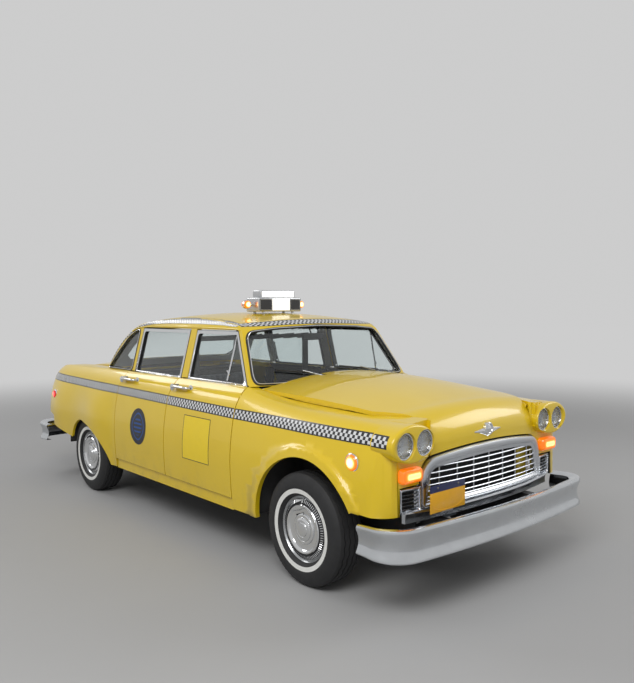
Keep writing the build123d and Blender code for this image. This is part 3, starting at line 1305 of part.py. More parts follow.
with BuildPart() as partition:
    y = SEAM_MIDDLE + 96
    add(block((-690, 690), (y, y + 14), (TUNNEL_TOP + 10, 1000)))
    for side in (-1, 1):
        add(block((side * 640, side * 690), (y, y + 14), (FLOOR_Z + SHEET + SEAT_GAP, 1000)))
        add(block((side * 540, side * 600), (y, y + 14), (990, 1440)))
    add(block((-600, 600), (y, y + 14), (1400, 1440)))
save(partition.part, "partition")

COLUMN_TILT = 28
COLUMN_RADIUS = 26
HUB_HALF = 22
WHEEL_AT = (365, SEAM_FRONT + 430, 930)
column_axis = (0, cos(radians(COLUMN_TILT)), sin(radians(COLUMN_TILT)))


def along_column(distance):
    """Point on the steering column, measured from the steering wheel's centre."""
    return tuple(WHEEL_AT[i] + column_axis[i] * distance for i in range(3))


with BuildPart() as dashboard:
    face = (
        (BULKHEAD_Y + SEAT_GAP, 1062),
        (SEAM_FRONT + 120, 1040),
        (SEAM_FRONT + 160, 1000),
        (SEAM_FRONT + 130, 800),
        (SEAM_FRONT + 40, 770),
        (BULKHEAD_Y + SEAT_GAP, 790),
    )
    add(side_prism(face, (-700, 700), 8))
    tilt = radians(COLUMN_TILT)
    foot = (WHEEL_AT[1] - BULKHEAD_Y - SEAT_GAP - COLUMN_RADIUS * sin(tilt)) / cos(tilt)
    add(rod(along_column(-foot), along_column(-40), COLUMN_RADIUS))
    add(rod(along_column(-60), along_column(-HUB_HALF - SEAT_GAP), 12))
    add(block((WHEEL_AT[0] - 20, WHEEL_AT[0] + 20), (SEAM_FRONT + 90, SEAM_FRONT + 120), (750, 810)))
save(dashboard.part, "dashboard")

with BuildPart() as steering_wheel:
    with Locations(Plane(origin=WHEEL_AT, z_dir=column_axis)):
        Torus(205, 13)
    with BuildPart(mode=Mode.PRIVATE) as spokes:
        add(rod(along_column(-HUB_HALF), along_column(HUB_HALF), 38))
    add(spokes.part)
    for turn in (90, 210, 330):
        reach = Vector(1, 0, 0) * cos(radians(turn)) + Vector(*column_axis).cross(Vector(1, 0, 0)) * sin(radians(turn))
        tip = Vector(*WHEEL_AT) + reach * 203
        add(rod(WHEEL_AT, tuple(tip), 10))
save(steering_wheel.part, "steering_wheel")

# Roof sign

SIGN_Y = SEAM_MIDDLE - 180

with BuildPart() as roof_sign:
    add(block((-215, 222), (SIGN_Y - 90, SIGN_Y + 90), (ROOF_Z + 4, ROOF_Z + 119)))
    fillet(roof_sign.edges().filter_by(Axis.Y), 12)
    add(block((-172, 178), (SIGN_Y - 60, SIGN_Y + 60), (ROOF_Z + 110, ROOF_Z + 180)))
    for side in (-1, 1):
        add(rod((side * 200, SIGN_Y, ROOF_Z + 64), (side * 330, SIGN_Y, ROOF_Z + 64), 14))
        add(rod((side * 275, SIGN_Y - 34, ROOF_Z + 64), (side * 275, SIGN_Y + 34, ROOF_Z + 64), 34))
    with BuildPart(mode=Mode.PRIVATE) as feet:
        for x in (-150, 150):
            for y in (SIGN_Y - 60, SIGN_Y + 60):
                add(rod((x, y, ROOF_Z - 60), (x, y, ROOF_Z + 10), 14))
        add(shell_outer.moved(Location((0, 0, SEAT_GAP))), mode=Mode.SUBTRACT)
    add(feet.part)
save(roof_sign.part, "roof_sign")

# Number plates, blank

PLATE = (305, 152)
PLATE_HOLES = 178
PLATE_HOLE_RADIUS = 3.5
PLATE_X = -450
PLATE_Z = (534, 730)


def plate_holes(x, z, y):
    """Two fixing holes near the top edge of a plate."""
    with BuildPart(mode=Mode.PRIVATE) as holes:
        for side in (-1, 1):
            at = (x + side * PLATE_HOLES / 2, z + PLATE[1] - 16)
            add(rod((at[0], min(y), at[1]), (at[0], max(y), at[1]), PLATE_HOLE_RADIUS))
    return holes.part


with BuildPart() as plate_front:
    add(block((PLATE_X - PLATE[0] / 2, PLATE_X + PLATE[0] / 2), (NOSE_Y - 58, NOSE_Y - 52), (PLATE_Z[0], PLATE_Z[0] + PLATE[1])))
    with BuildPart(mode=Mode.PRIVATE) as bracket:
        add(block((PLATE_X - 50, PLATE_X + 50), (NOSE_Y - 54, NOSE_Y + 30), (PLATE_Z[0] - 12, PLATE_Z[0] + 6)))
        add(bowed_slab(FACE_FRONT - 6 - SEAT_GAP, 80), mode=Mode.SUBTRACT)
    add(bracket.part)
    add(plate_holes(PLATE_X, PLATE_Z[0], (NOSE_Y - 70, NOSE_Y - 40)), mode=Mode.SUBTRACT)
save(plate_front.part, "plate_front")

with BuildPart() as plate_rear:
    back, face = TAIL_Y + 2 * SEAT_GAP, TAIL_Y + 8
    add(block((-PLATE[0] / 2, PLATE[0] / 2), (back, face), (PLATE_Z[1], PLATE_Z[1] + PLATE[1])))
    add(plate_holes(0, PLATE_Z[1], (back - 10, face + 10)), mode=Mode.SUBTRACT)
save(plate_rear.part, "plate_rear")
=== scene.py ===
"""Finishes, trim and fittings of a four-door taxi sedan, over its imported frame.

Metres. +Z is up, the nose points to -Y and the car's left side is +X.
"""

import json
import math

import bmesh
import bpy
from bpy.props import FloatProperty, FloatVectorProperty, IntProperty, PointerProperty
from mathutils import Matrix, Vector
from mathutils.bvhtree import BVHTree


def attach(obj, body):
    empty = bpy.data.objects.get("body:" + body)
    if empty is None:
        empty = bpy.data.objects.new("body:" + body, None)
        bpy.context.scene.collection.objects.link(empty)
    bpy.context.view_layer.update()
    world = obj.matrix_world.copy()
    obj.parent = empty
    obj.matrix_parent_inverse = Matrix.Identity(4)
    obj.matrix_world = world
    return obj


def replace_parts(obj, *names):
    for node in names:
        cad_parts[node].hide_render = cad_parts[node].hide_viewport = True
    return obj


bl_info = {
    "name": "Taxi Sedan",
    "version": (1, 0, 0),
    "blender": (4, 5, 0),
    "location": "3D View > Sidebar > Taxi",
    "description": "Paint, trim, lamps, wheels and cabin of a four-door taxi sedan",
    "category": "Object",
}

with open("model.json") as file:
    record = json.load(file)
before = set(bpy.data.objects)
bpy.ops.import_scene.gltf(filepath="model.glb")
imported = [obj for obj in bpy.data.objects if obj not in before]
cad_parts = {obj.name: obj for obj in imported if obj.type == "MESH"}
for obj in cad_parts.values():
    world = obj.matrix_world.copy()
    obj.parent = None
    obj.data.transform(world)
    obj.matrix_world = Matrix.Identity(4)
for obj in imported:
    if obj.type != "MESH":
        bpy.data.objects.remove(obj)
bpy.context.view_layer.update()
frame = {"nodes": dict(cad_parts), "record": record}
nodes = frame["nodes"]
body_of = {
    node: body
    for body, members in frame["record"]["behaviour"]["bodies"].items()
    for node in members
}

# Where the front axle lies in the layout of the sizes below. SHIFT carries that layout into the frame.
LAYOUT_AXLE = -1.6145


def middle_of(name):
    """Middle of a CAD node's box."""
    box = [Vector(corner) for corner in nodes[name].bound_box]
    return sum(box, Vector()) / 8


SHIFT = Vector((0, round(middle_of("tyre_front_left").y - LAYOUT_AXLE, 4), 0))

# Places shared with the frame
NOSE_Y = -2.2955
TAIL_Y = 2.4405
SEAM_FRONT = -0.9105
SEAM_MIDDLE = -0.0105
SEAM_REAR = 0.8405
SEAM_GAP = 0.0045
BELT_Z = 1.130
HUB_Z = 0.342
FACE_FRONT = -2.3115
WHEELBASE = 3.048
BESIDE = 1.3
SIDES = (("left", 1), ("right", -1))
finishes = {}


# Sizes and colours that a user would change

class TaxiPaintSettings(bpy.types.PropertyGroup):
    """Body paint."""

    colour: FloatVectorProperty(
        name="Paint", description="Colour of the body", default=(0.79, 0.55, 0.005), size=3, min=0, max=1,
        subtype="COLOR")
    road_film: FloatProperty(
        name="Road film", description="How much dull dust lies low on the paint", default=0.35, min=0, max=1,
        subtype="FACTOR")
    gloss: FloatProperty(
        name="Roughness", description="Roughness of the paint under its clear coat", default=0.34,
        min=0, max=1, subtype="FACTOR")


class TaxiBandSettings(bpy.types.PropertyGroup):
    """Chequered bands."""

    square: FloatProperty(
        name="Square", description="Side of one square of the chequers", default=0.0188,
        min=0.005, max=0.05, unit="LENGTH", precision=4)
    lift: FloatProperty(
        name="Lift", description="How far a band stands off the paint", default=0.0008,
        min=0.0002, max=0.005, unit="LENGTH", precision=4)


class TaxiWheelSettings(bpy.types.PropertyGroup):
    """Tyres and wheel covers."""

    ribs: IntProperty(
        name="Ribs", description="Radial ribs round each wheel cover", default=76, min=24, max=120)
    blocks: IntProperty(
        name="Tread steps", description="Steps of the tread round a tyre", default=120, min=48, max=180)
    groove: FloatProperty(
        name="Groove", description="Depth of the tread grooves", default=0.007,
        min=0.001, max=0.012, unit="LENGTH", precision=4)


class TaxiCabinSettings(bpy.types.PropertyGroup):
    """Seats and trim."""

    channel: FloatProperty(
        name="Channel", description="Width of one sewn channel of the seats", default=0.064,
        min=0.03, max=0.15, unit="LENGTH", precision=3)
    voxel: FloatProperty(
        name="Cushion grain", description="Size of the cushions' simulation grid", default=0.012,
        min=0.006, max=0.03, unit="LENGTH", precision=3)
    frames: IntProperty(
        name="Frames", description="Frames that the cushions are blown up for", default=20, min=2, max=60)


class TaxiStageSettings(bpy.types.PropertyGroup):
    """Floor and lamps."""

    floor: FloatVectorProperty(
        name="Floor", description="Colour of the floor", default=(0.42, 0.42, 0.42), size=3, min=0, max=1,
        subtype="COLOR")
    key: FloatProperty(
        name="Key lamp", description="Power of the main soft lamp", default=350, min=0, max=5000,
        unit="POWER")
    fill: FloatProperty(
        name="Fill lamp", description="Power of the second soft lamp", default=150, min=0, max=5000,
        unit="POWER")


# Node trees

def wire(tree, value, socket):
    """Join a socket to another one, or give it a plain value."""
    if isinstance(value, bpy.types.NodeSocket):
        tree.links.new(value, socket)
    else:
        socket.default_value = value


def maths(tree, operation, first, second=0.0, clamp=False):
    """Result of one sum on two numbers or sockets."""
    node = tree.nodes.new("ShaderNodeMath")
    node.operation = operation
    node.use_clamp = clamp
    wire(tree, first, node.inputs[0])
    wire(tree, second, node.inputs[1])
    return node.outputs[0]


def blend_colours(tree, amount, first, second, way="MIX"):
    """Colour between two others."""
    node = tree.nodes.new("ShaderNodeMix")
    node.data_type = "RGBA"
    node.blend_type = way
    wire(tree, amount, node.inputs[0])
    wire(tree, first, node.inputs[6])
    wire(tree, second, node.inputs[7])
    return node.outputs[2]


def spread(tree, value, low, high, new_low=0.0, new_high=1.0, smooth=True):
    """Number carried from one span to another, and held inside it."""
    node = tree.nodes.new("ShaderNodeMapRange")
    node.interpolation_type = "SMOOTHSTEP" if smooth else "LINEAR"
    wire(tree, value, node.inputs["Value"])
    for name, number in (("From Min", low), ("From Max", high), ("To Min", new_low), ("To Max", new_high)):
        node.inputs[name].default_value = number
    return node.outputs["Result"]


def cloud(tree, where, scale, detail=4.0, roughness=0.55, stretch=None):
    """Soft noise over a piece."""
    if stretch:
        turn = tree.nodes.new("ShaderNodeMapping")
        turn.inputs["Scale"].default_value = stretch
        tree.links.new(where, turn.inputs["Vector"])
        where = turn.outputs["Vector"]
    node = tree.nodes.new("ShaderNodeTexNoise")
    tree.links.new(where, node.inputs["Vector"])
    node.inputs["Scale"].default_value = scale
    node.inputs["Detail"].default_value = detail
    node.inputs["Roughness"].default_value = roughness
    return node.outputs["Fac"]


def parted(tree, where):
    """The three parts of a place."""
    node = tree.nodes.new("ShaderNodeSeparateXYZ")
    tree.links.new(where, node.inputs[0])
    return node.outputs


def solid(colour):
    """Colour with its fourth number."""
    return (*colour[:3], 1.0)


def finish(name, colour, roughness, metallic=0.0, vary=0.08, grain=30.0, rough_vary=0.12, bump=0.1,
           bump_scale=500.0, stretch=None, pattern=None, use_uv=False, **sockets):
    """Procedural finish: its colour and roughness vary over a piece and a fine grain raises it.

    pattern is a function of the tree, the place and the colour so far that gives the colour to use.
    """
    if name in finishes:
        return finishes[name]
    material = bpy.data.materials.new(name)
    material.use_nodes = True
    tree = material.node_tree
    shader = tree.nodes["Principled BSDF"]
    place = tree.nodes.new("ShaderNodeTexCoord")
    where = place.outputs["UV" if use_uv else "Object"]
    soft = cloud(tree, place.outputs["Object"], grain, stretch=stretch)
    dark = solid([part * (1 - vary) for part in colour])
    light = solid([min(1.0, part * (1 + vary)) for part in colour])
    base = blend_colours(tree, soft, dark, light)
    if pattern:
        base = pattern(tree, where, base)
    tree.links.new(base, shader.inputs["Base Color"])
    shader.inputs["Metallic"].default_value = metallic
    uneven = cloud(tree, place.outputs["Object"], grain * 0.4, detail=6.0, stretch=stretch)
    rough = spread(tree, uneven, 0.3, 0.7, max(0.0, roughness * (1 - rough_vary)),
                   min(1.0, roughness * (1 + rough_vary)))
    tree.links.new(rough, shader.inputs["Roughness"])
    if bump:
        raised = tree.nodes.new("ShaderNodeBump")
        raised.inputs["Strength"].default_value = bump
        raised.inputs["Distance"].default_value = 0.001
        tree.links.new(cloud(tree, place.outputs["Object"], bump_scale, detail=3.0, stretch=stretch),
                       raised.inputs["Height"])
        tree.links.new(raised.outputs["Normal"], shader.inputs["Normal"])
    for socket, value in sockets.items():
        shader.inputs[socket.replace("_", " ").title().replace("Ior", "IOR")].default_value = value
    finishes[name] = material
    return material


DUST = (0.23, 0.18, 0.09)
DUST_SPAN = (0.30, 0.62)
OLD_PAINT = (0.82, 0.60, 0.045)
RUST = (0.075, 0.032, 0.014)


def road_film(tree, where, base):
    """Dust low on the body and faint patches of older paint."""
    amount = bpy.context.scene.taxi_paint.road_film
    height = parted(tree, where)[2]
    low = spread(tree, height, *DUST_SPAN, 1.0, 0.0)
    patch = spread(tree, cloud(tree, where, 7.0, detail=9.0, roughness=0.7), 0.45, 0.75)
    film = maths(tree, "MULTIPLY", maths(tree, "MULTIPLY", low, patch), amount, clamp=True)
    dusty = blend_colours(tree, film, base, solid(DUST))
    fade = maths(tree, "MULTIPLY", spread(tree, cloud(tree, where, 1.6, detail=2.0), 0.45, 0.7), 0.22)
    return blend_colours(tree, fade, dusty, solid(OLD_PAINT))


def body_paint():
    """Glossy paint under a clear coat."""
    settings = bpy.context.scene.taxi_paint
    return finish("body_paint", settings.colour, settings.gloss, vary=0.05, grain=3.0, bump=0.018,
                  bump_scale=260.0, pattern=road_film, coat_weight=0.60, coat_roughness=0.035)


def rust(tree, where, base):
    """Rust spots on black paint."""
    spots = spread(tree, cloud(tree, where, 16.0, detail=9.0, roughness=0.7), 0.56, 0.68)
    return blend_colours(tree, maths(tree, "MULTIPLY", spots, 0.6), base, solid(RUST))


LOOKS = {
    "bright_chrome": ((0.78, 0.79, 0.80), 0.09, dict(
        metallic=1.0, vary=0.05, grain=14.0, rough_vary=0.55, bump=0.03, bump_scale=90.0)),
    "worn_chrome": ((0.62, 0.64, 0.66), 0.20, dict(
        metallic=1.0, vary=0.10, grain=9.0, rough_vary=0.45, bump=0.05, bump_scale=160.0)),
    "brushed_silver": ((0.60, 0.62, 0.65), 0.27, dict(
        metallic=1.0, vary=0.08, grain=12.0, rough_vary=0.3, bump=0.12, bump_scale=300.0,
        stretch=(0.08, 1.0, 1.0))),
    "window_rubber": ((0.018, 0.018, 0.019), 0.62, dict(vary=0.25, grain=60.0, bump=0.25, bump_scale=900.0)),
    "underseal": ((0.022, 0.021, 0.020), 0.82, dict(vary=0.35, grain=25.0, bump=0.6, bump_scale=220.0)),
    "cabin_vinyl": ((0.030, 0.033, 0.040), 0.48, dict(vary=0.2, bump=0.45, bump_scale=750.0)),
    "seat_vinyl": ((0.050, 0.060, 0.078), 0.36, dict(
        vary=0.25, grain=22.0, rough_vary=0.35, bump=0.35, bump_scale=800.0, coat_weight=0.2,
        coat_roughness=0.3)),
    "headliner": ((0.36, 0.35, 0.32), 0.9, dict(grain=120.0, bump=0.5, bump_scale=1400.0)),
    "chassis_metal": ((0.026, 0.026, 0.027), 0.6, dict(
        metallic=0.3, vary=0.2, bump=0.4, bump_scale=200.0, pattern=rust)),
    "bare_steel": ((0.20, 0.195, 0.19), 0.5, dict(
        metallic=0.85, vary=0.25, grain=24.0, bump=0.35, bump_scale=180.0)),
    "engine_enamel": ((0.045, 0.065, 0.09), 0.5, dict(vary=0.25, grain=18.0, bump=0.3, bump_scale=150.0)),
    "window_glass": ((0.90, 0.95, 0.95), 0.02, dict(
        vary=0.01, grain=3.0, bump=0.0, ior=1.45, transmission_weight=1.0)),
    "lamp_glass": ((0.96, 0.98, 1.0), 0.03, dict(
        vary=0.01, grain=8.0, bump=0.0, ior=1.47, transmission_weight=1.0)),
    "radiator_core": ((0.012, 0.012, 0.013), 0.6, dict(
        metallic=0.4, vary=0.3, grain=60.0, bump=0.8, bump_scale=260.0, stretch=(6.0, 1.0, 0.6))),
    "tyre_rubber": ((0.017, 0.017, 0.018), 0.66, dict(vary=0.3, grain=16.0, bump=0.35, bump_scale=420.0)),
    "white_ring": ((0.80, 0.80, 0.77), 0.55, dict(vary=0.10, bump=0.15, bump_scale=300.0)),
    "wheel_steel": ((0.42, 0.43, 0.44), 0.3, dict(metallic=1.0, vary=0.12, grain=20.0)),
    "wheel_shadow": ((0.05, 0.05, 0.053), 0.4, dict(metallic=0.9, vary=0.2, grain=20.0)),
    "sign_casing": ((0.55, 0.56, 0.57), 0.3, dict(metallic=0.9, vary=0.1, grain=20.0)),
    "sign_lit": ((0.9, 0.9, 0.88), 0.4, dict(
        vary=0.04, grain=12.0, emission_color=(1, 0.98, 0.93, 1), emission_strength=0.7)),
    "sign_panel": ((0.02, 0.02, 0.022), 0.35, dict(vary=0.2, grain=20.0)),
    "sign_line": ((0.75, 0.76, 0.78), 0.4, dict(vary=0.05, bump=0.05)),
    "wiper_steel": ((0.35, 0.36, 0.37), 0.3, dict(metallic=1.0, vary=0.1)),
    "floor_mat": ((0.024, 0.024, 0.026), 0.8, dict(vary=0.3, grain=20.0, bump=0.7, bump_scale=350.0)),
    "wheel_rim_black": ((0.02, 0.02, 0.022), 0.3, dict(vary=0.2, grain=20.0)),
}


def look(name):
    """Finish of the table."""
    colour, roughness, more = LOOKS[name]
    return finish(name, colour, roughness, **more)


def lamp_glass():
    """Lens glass with upright flutes."""
    material = look("lamp_glass")
    tree = material.node_tree
    if not tree.nodes.get("flutes"):
        place = tree.nodes.new("ShaderNodeTexCoord")
        flutes = tree.nodes.new("ShaderNodeTexWave")
        flutes.name = "flutes"
        flutes.wave_type = "BANDS"
        flutes.bands_direction = "X"
        flutes.inputs["Scale"].default_value = 45.0
        tree.links.new(place.outputs["Object"], flutes.inputs["Vector"])
        raised = tree.nodes.new("ShaderNodeBump")
        raised.inputs["Strength"].default_value = 0.55
        raised.inputs["Distance"].default_value = 0.002
        tree.links.new(flutes.outputs["Fac"], raised.inputs["Height"])
        tree.links.new(raised.outputs["Normal"], tree.nodes["Principled BSDF"].inputs["Normal"])
    return material


def lit_lens(name, colour, core, strength):
    """Coloured lens with its lamp on: bright in the middle and deep at its rim."""
    if name in finishes:
        return finishes[name]
    material = finish(name, colour, 0.12, vary=0.08, grain=60.0, bump=0.5, bump_scale=420.0, use_uv=True,
                      ior=1.49, coat_weight=0.6, coat_roughness=0.05)
    tree = material.node_tree
    shader = tree.nodes["Principled BSDF"]
    place = tree.nodes.new("ShaderNodeUVMap")
    parts = parted(tree, place.outputs["UV"])
    glow = spread(tree, parts[0], 0.25, 0.95, 1.0, 0.12)
    tint = blend_colours(tree, spread(tree, parts[0], 0.35, 0.8), solid(core), solid(colour))
    tree.links.new(tint, shader.inputs["Emission Color"])
    tree.links.new(maths(tree, "MULTIPLY", glow, strength), shader.inputs["Emission Strength"])
    return material


def amber_lit():
    """Amber lens with its lamp on."""
    return lit_lens("amber_lit", (0.95, 0.20, 0.008), (1.0, 0.72, 0.32), 4.0)


def red_lit():
    """Red lens with its lamp on."""
    return lit_lens("red_lit", (0.55, 0.006, 0.010), (1.0, 0.12, 0.10), 2.2)


BAND_BLACK = (0.012, 0.012, 0.013)
BAND_WHITE = (0.78, 0.79, 0.80)


def chequers(rows):
    """Black band with rows of white squares between two black edges."""
    square = bpy.context.scene.taxi_band.square

    def squares(tree, where, base):
        parts = parted(tree, where)
        board = tree.nodes.new("ShaderNodeTexChecker")
        board.inputs["Color1"].default_value = solid(BAND_BLACK)
        board.inputs["Color2"].default_value = solid(BAND_WHITE)
        board.inputs["Scale"].default_value = 1.0
        joined = tree.nodes.new("ShaderNodeCombineXYZ")
        wire(tree, maths(tree, "DIVIDE", parts[0], square), joined.inputs[0])
        wire(tree, parts[1], joined.inputs[1])
        joined.inputs[2].default_value = 0.5
        tree.links.new(joined.outputs[0], board.inputs["Vector"])
        inside = maths(tree, "MULTIPLY", maths(tree, "GREATER_THAN", parts[1], 0.0),
                       maths(tree, "LESS_THAN", parts[1], float(rows)))
        worn = spread(tree, cloud(tree, where, 60.0, detail=6.0), 0.3, 0.7, 0.86, 1.0)
        shaded = blend_colours(tree, 1.0, board.outputs["Color"], worn, "MULTIPLY")
        return blend_colours(tree, inside, solid(BAND_BLACK), shaded)

    return finish(f"chequers_{rows}", (0.5, 0.5, 0.5), 0.3, vary=0.02, bump=0.02, pattern=squares,
                  use_uv=True, coat_weight=0.5, coat_roughness=0.08)


# Meshes

def arc(start, middle, end, count):
    """Points along the circular arc through three points of a plane."""
    (ax, ay), (bx, by), (cx, cy) = start, middle, end
    twice = 2 * (ax * (by - cy) + bx * (cy - ay) + cx * (ay - by))
    if abs(twice) < 1e-12:
        return [(ax + (cx - ax) * i / count, ay + (cy - ay) * i / count) for i in range(count + 1)]
    ux = ((ax**2 + ay**2) * (by - cy) + (bx**2 + by**2) * (cy - ay) + (cx**2 + cy**2) * (ay - by)) / twice
    uy = ((ax**2 + ay**2) * (cx - bx) + (bx**2 + by**2) * (ax - cx) + (cx**2 + cy**2) * (bx - ax)) / twice
    radius = math.hypot(ax - ux, ay - uy)
    first = math.atan2(ay - uy, ax - ux)
    turn_middle = (math.atan2(by - uy, bx - ux) - first) % math.tau
    turn_end = (math.atan2(cy - uy, cx - ux) - first) % math.tau
    if turn_middle > turn_end:
        turn_end -= math.tau
    turns = [first + turn_end * i / count for i in range(count + 1)]
    return [(ux + radius * math.cos(turn), uy + radius * math.sin(turn)) for turn in turns]


def between(start, end, share):
    """Number part of the way between two others."""
    return start + (end - start) * share


def look_up(table, key):
    """Value at a key of a table of pairs, straight between its rows."""
    if key <= table[0][0]:
        return table[0][1]
    for (first, low), (second, high) in zip(table, table[1:]):
        if key <= second:
            return between(low, high, (key - first) / (second - first))
    return table[-1][1]


def rounded(points, rounds=2, closed=True):
    """Points with their corners cut back and eased."""
    for _ in range(rounds):
        pairs = list(zip(points, points[1:] + points[:1] if closed else points[1:]))
        cut = []
        for first, second in pairs:
            cut.append(tuple(between(a, b, 0.25) for a, b in zip(first, second)))
            cut.append(tuple(between(a, b, 0.75) for a, b in zip(first, second)))
        points = cut if closed else [points[0]] + cut[1:-1] + [points[-1]]
    return points


def loop(bm, points):
    """Closed ring of edges through points."""
    verts = [bm.verts.new(point) for point in points]
    return [bm.edges.new((verts[i], verts[(i + 1) % len(verts)])) for i in range(len(verts))]


def skin_over(bm, stations, closed=False):
    """Skin bridged over a run of rings, with its ends filled unless the run closes."""
    rings = [loop(bm, points) for points in stations]
    pairs = list(zip(rings, rings[1:]))
    if closed:
        pairs.append((rings[-1], rings[0]))
    for first, second in pairs:
        bmesh.ops.bridge_loops(bm, edges=first + second)
    if not closed:
        bmesh.ops.contextual_create(bm, geom=rings[0])
        bmesh.ops.contextual_create(bm, geom=rings[-1])


def piece(name, bm, body, materials, angle=35.0, recalculate=True):
    """Object made of a finished bmesh, riding on a body."""
    bmesh.ops.translate(bm, vec=SHIFT, verts=bm.verts)
    if recalculate:
        bmesh.ops.recalc_face_normals(bm, faces=bm.faces)
    mesh = bpy.data.meshes.new(name)
    bm.to_mesh(mesh)
    bm.free()
    mesh.shade_smooth()
    mesh.set_sharp_from_angle(angle=math.radians(angle))
    for material in materials:
        mesh.materials.append(material)
    thing = bpy.data.objects.new(name, mesh)
    bpy.context.scene.collection.objects.link(thing)
    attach(thing, body)
    return thing


def merged_copy(*names):
    """Mesh of CAD nodes with its loose triangles joined."""
    bm = bmesh.new()
    for name in names:
        bm.from_mesh(nodes[name].data)
    bmesh.ops.remove_doubles(bm, verts=bm.verts, dist=2e-5)
    bmesh.ops.translate(bm, vec=-SHIFT, verts=bm.verts)
    return bm


def boxes(name, rows, body, material):
    """Piece made of eased boxes: two corners, the bevel and its segments in each row."""
    bm = bmesh.new()
    for row in rows:
        brick(bm, *row)
    return piece(name, bm, body, [material])


def skinned(name, stations, body, material, angle, closed=False):
    """Piece bridged over a run of rings."""
    bm = bmesh.new()
    skin_over(bm, stations, closed)
    return piece(name, bm, body, [material], angle=angle)


def dressed(node, materials, choose=None, angle=32.0):
    """Smooth copy of a CAD node in place of it, with a finish chosen for each face."""
    bm = merged_copy(node)
    for face in bm.faces:
        face.material_index = choose(face.calc_center_median(), face.normal) if choose else 0
    thing = piece(node + "_shell", bm, body_of[node], materials, angle=angle, recalculate=False)
    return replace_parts(thing, node)


def ray_tree(*names):
    """Tree of the triangles of CAD nodes, for rays."""
    bm = merged_copy(*names)
    tree = BVHTree.FromBMesh(bm)
    bm.free()
    return tree


def eased(points, rounds):
    """Closed run of points, each drawn towards its neighbours."""
    for _ in range(rounds):
        count = len(points)
        points = [(points[i - 1] + points[i] * 2 + points[(i + 1) % count]) / 4 for i in range(count)]
    return points


RAY_STEPS_ASIDE = (0.002, 0.005, 0.010, 0.020, 0.040)


def on_skin(tree, start, way, lift=0.0, reach=10.0):
    """Point where a ray meets a skin, lifted off it. A ray that falls in a gap takes the depth beside it."""
    start, way = Vector(start), Vector(way).normalized()
    across = way.orthogonal().normalized()
    tries = [Vector()]
    for aside in RAY_STEPS_ASIDE:
        tries += [Matrix.Rotation(math.tau * k / 8, 3, way) @ across * aside for k in range(8)]
    for shift in tries:
        place, normal, _, depth = tree.ray_cast(start + shift, way, reach)
        if place is not None:
            break
    else:
        raise RuntimeError(f"no skin under {tuple(round(part, 3) for part in start)}")
    if normal.dot(way) > 0:
        normal = -normal
    return start + way * depth + normal * lift


def from_side(tree, side, y, z, lift=0.0):
    """Point on a skin, met by a ray from beside the car."""
    return on_skin(tree, (side * BESIDE, y, z), (-side, 0, 0), lift)


def from_front(tree, x, z, lift=0.0, start=-1.8):
    """Point on a skin, met by a ray from in front of it."""
    return on_skin(tree, (x, start, z), (0, 1, 0), lift)


def draped(name, tree, place, cells, body, materials, lift=0.0008):
    """Thin sheet laid on a skin. place turns a share along and a share up into a ray's start and way."""
    bm = bmesh.new()
    uv = bm.loops.layers.uv.new("sheet")
    bmesh.ops.create_grid(bm, x_segments=cells[0], y_segments=cells[1], size=0.5)
    shares = {}
    outward = None
    for vert in bm.verts:
        along, up = vert.co.x + 0.5, vert.co.y + 0.5
        shares[vert] = (along, up)
        start, way = place(along, up)
        vert.co = on_skin(tree, start, way, lift)
        outward = -Vector(way)
    for face in bm.faces:
        for corner in face.loops:
            corner[uv].uv = shares[corner.vert]
    bm.normal_update()
    if sum(face.normal.dot(outward) for face in bm.faces) < 0:
        bmesh.ops.reverse_faces(bm, faces=bm.faces)
    return piece(name, bm, body, materials, recalculate=False)


def ring_round(point, ahead, across, size, sides):
    """Ring of points round a line, from the direction across it."""
    beside = ahead.cross(across)
    turns = [math.tau * k / sides for k in range(sides)]
    return [point + (across * math.cos(turn) + beside * math.sin(turn)) * size for turn in turns]


def rod_mesh(bm, points, radius, sides=10):
    """Round bar through points, with closed ends."""
    points = [Vector(point) for point in points]
    stations = []
    across = None
    for index, point in enumerate(points):
        ahead = points[min(index + 1, len(points) - 1)] - points[max(index - 1, 0)]
        ahead.normalize()
        if across is None:
            across = ahead.orthogonal().normalized()
        across = (across - ahead * across.dot(ahead)).normalized()
        size = radius[index] if isinstance(radius, (list, tuple)) else radius
        stations.append(ring_round(point, ahead, across, size, sides))
    skin_over(bm, stations)


def ring_mesh(bm, points, radius, sides=8):
    """Round bar along a closed run of points."""
    points = [Vector(point) for point in points]
    stations = []
    count = len(points)
    middle = sum(points, Vector()) / count
    for index, point in enumerate(points):
        ahead = (points[(index + 1) % count] - points[index - 1]).normalized()
        across = point - middle
        across = (across - ahead * across.dot(ahead)).normalized()
        stations.append(ring_round(point, ahead, across, radius, sides))
    skin_over(bm, stations, closed=True)


def brick(bm, low, high, bevel=0.0, segments=2):
    """Box between two corners with eased edges."""
    made = bmesh.ops.create_cube(bm, size=1.0)["verts"]
    size = [b - a for a, b in zip(low, high)]
    middle = [(a + b) / 2 for a, b in zip(low, high)]
    bmesh.ops.scale(bm, vec=size, verts=made)
    bmesh.ops.translate(bm, vec=middle, verts=made)
    if bevel:
        edges = list({edge for vert in made for edge in vert.link_edges})
        bmesh.ops.bevel(bm, geom=edges, offset=bevel, offset_type="OFFSET", segments=segments, profile=0.5,
                        affect="EDGES", material=-1)


def spun(bm, outline, steps, centre=(0, 0, 0), axis=(1, 0, 0), closed=False):
    """Surface spun about an axis from an outline in three-space."""
    verts = [bm.verts.new(point) for point in outline]
    edges = [bm.edges.new(pair) for pair in zip(verts, verts[1:])]
    if closed:
        edges.append(bm.edges.new((verts[-1], verts[0])))
    bmesh.ops.spin(bm, geom=verts + edges, cent=centre, axis=axis, angle=math.tau, steps=steps,
                   use_merge=True)
    bmesh.ops.remove_doubles(bm, verts=bm.verts, dist=1e-6)


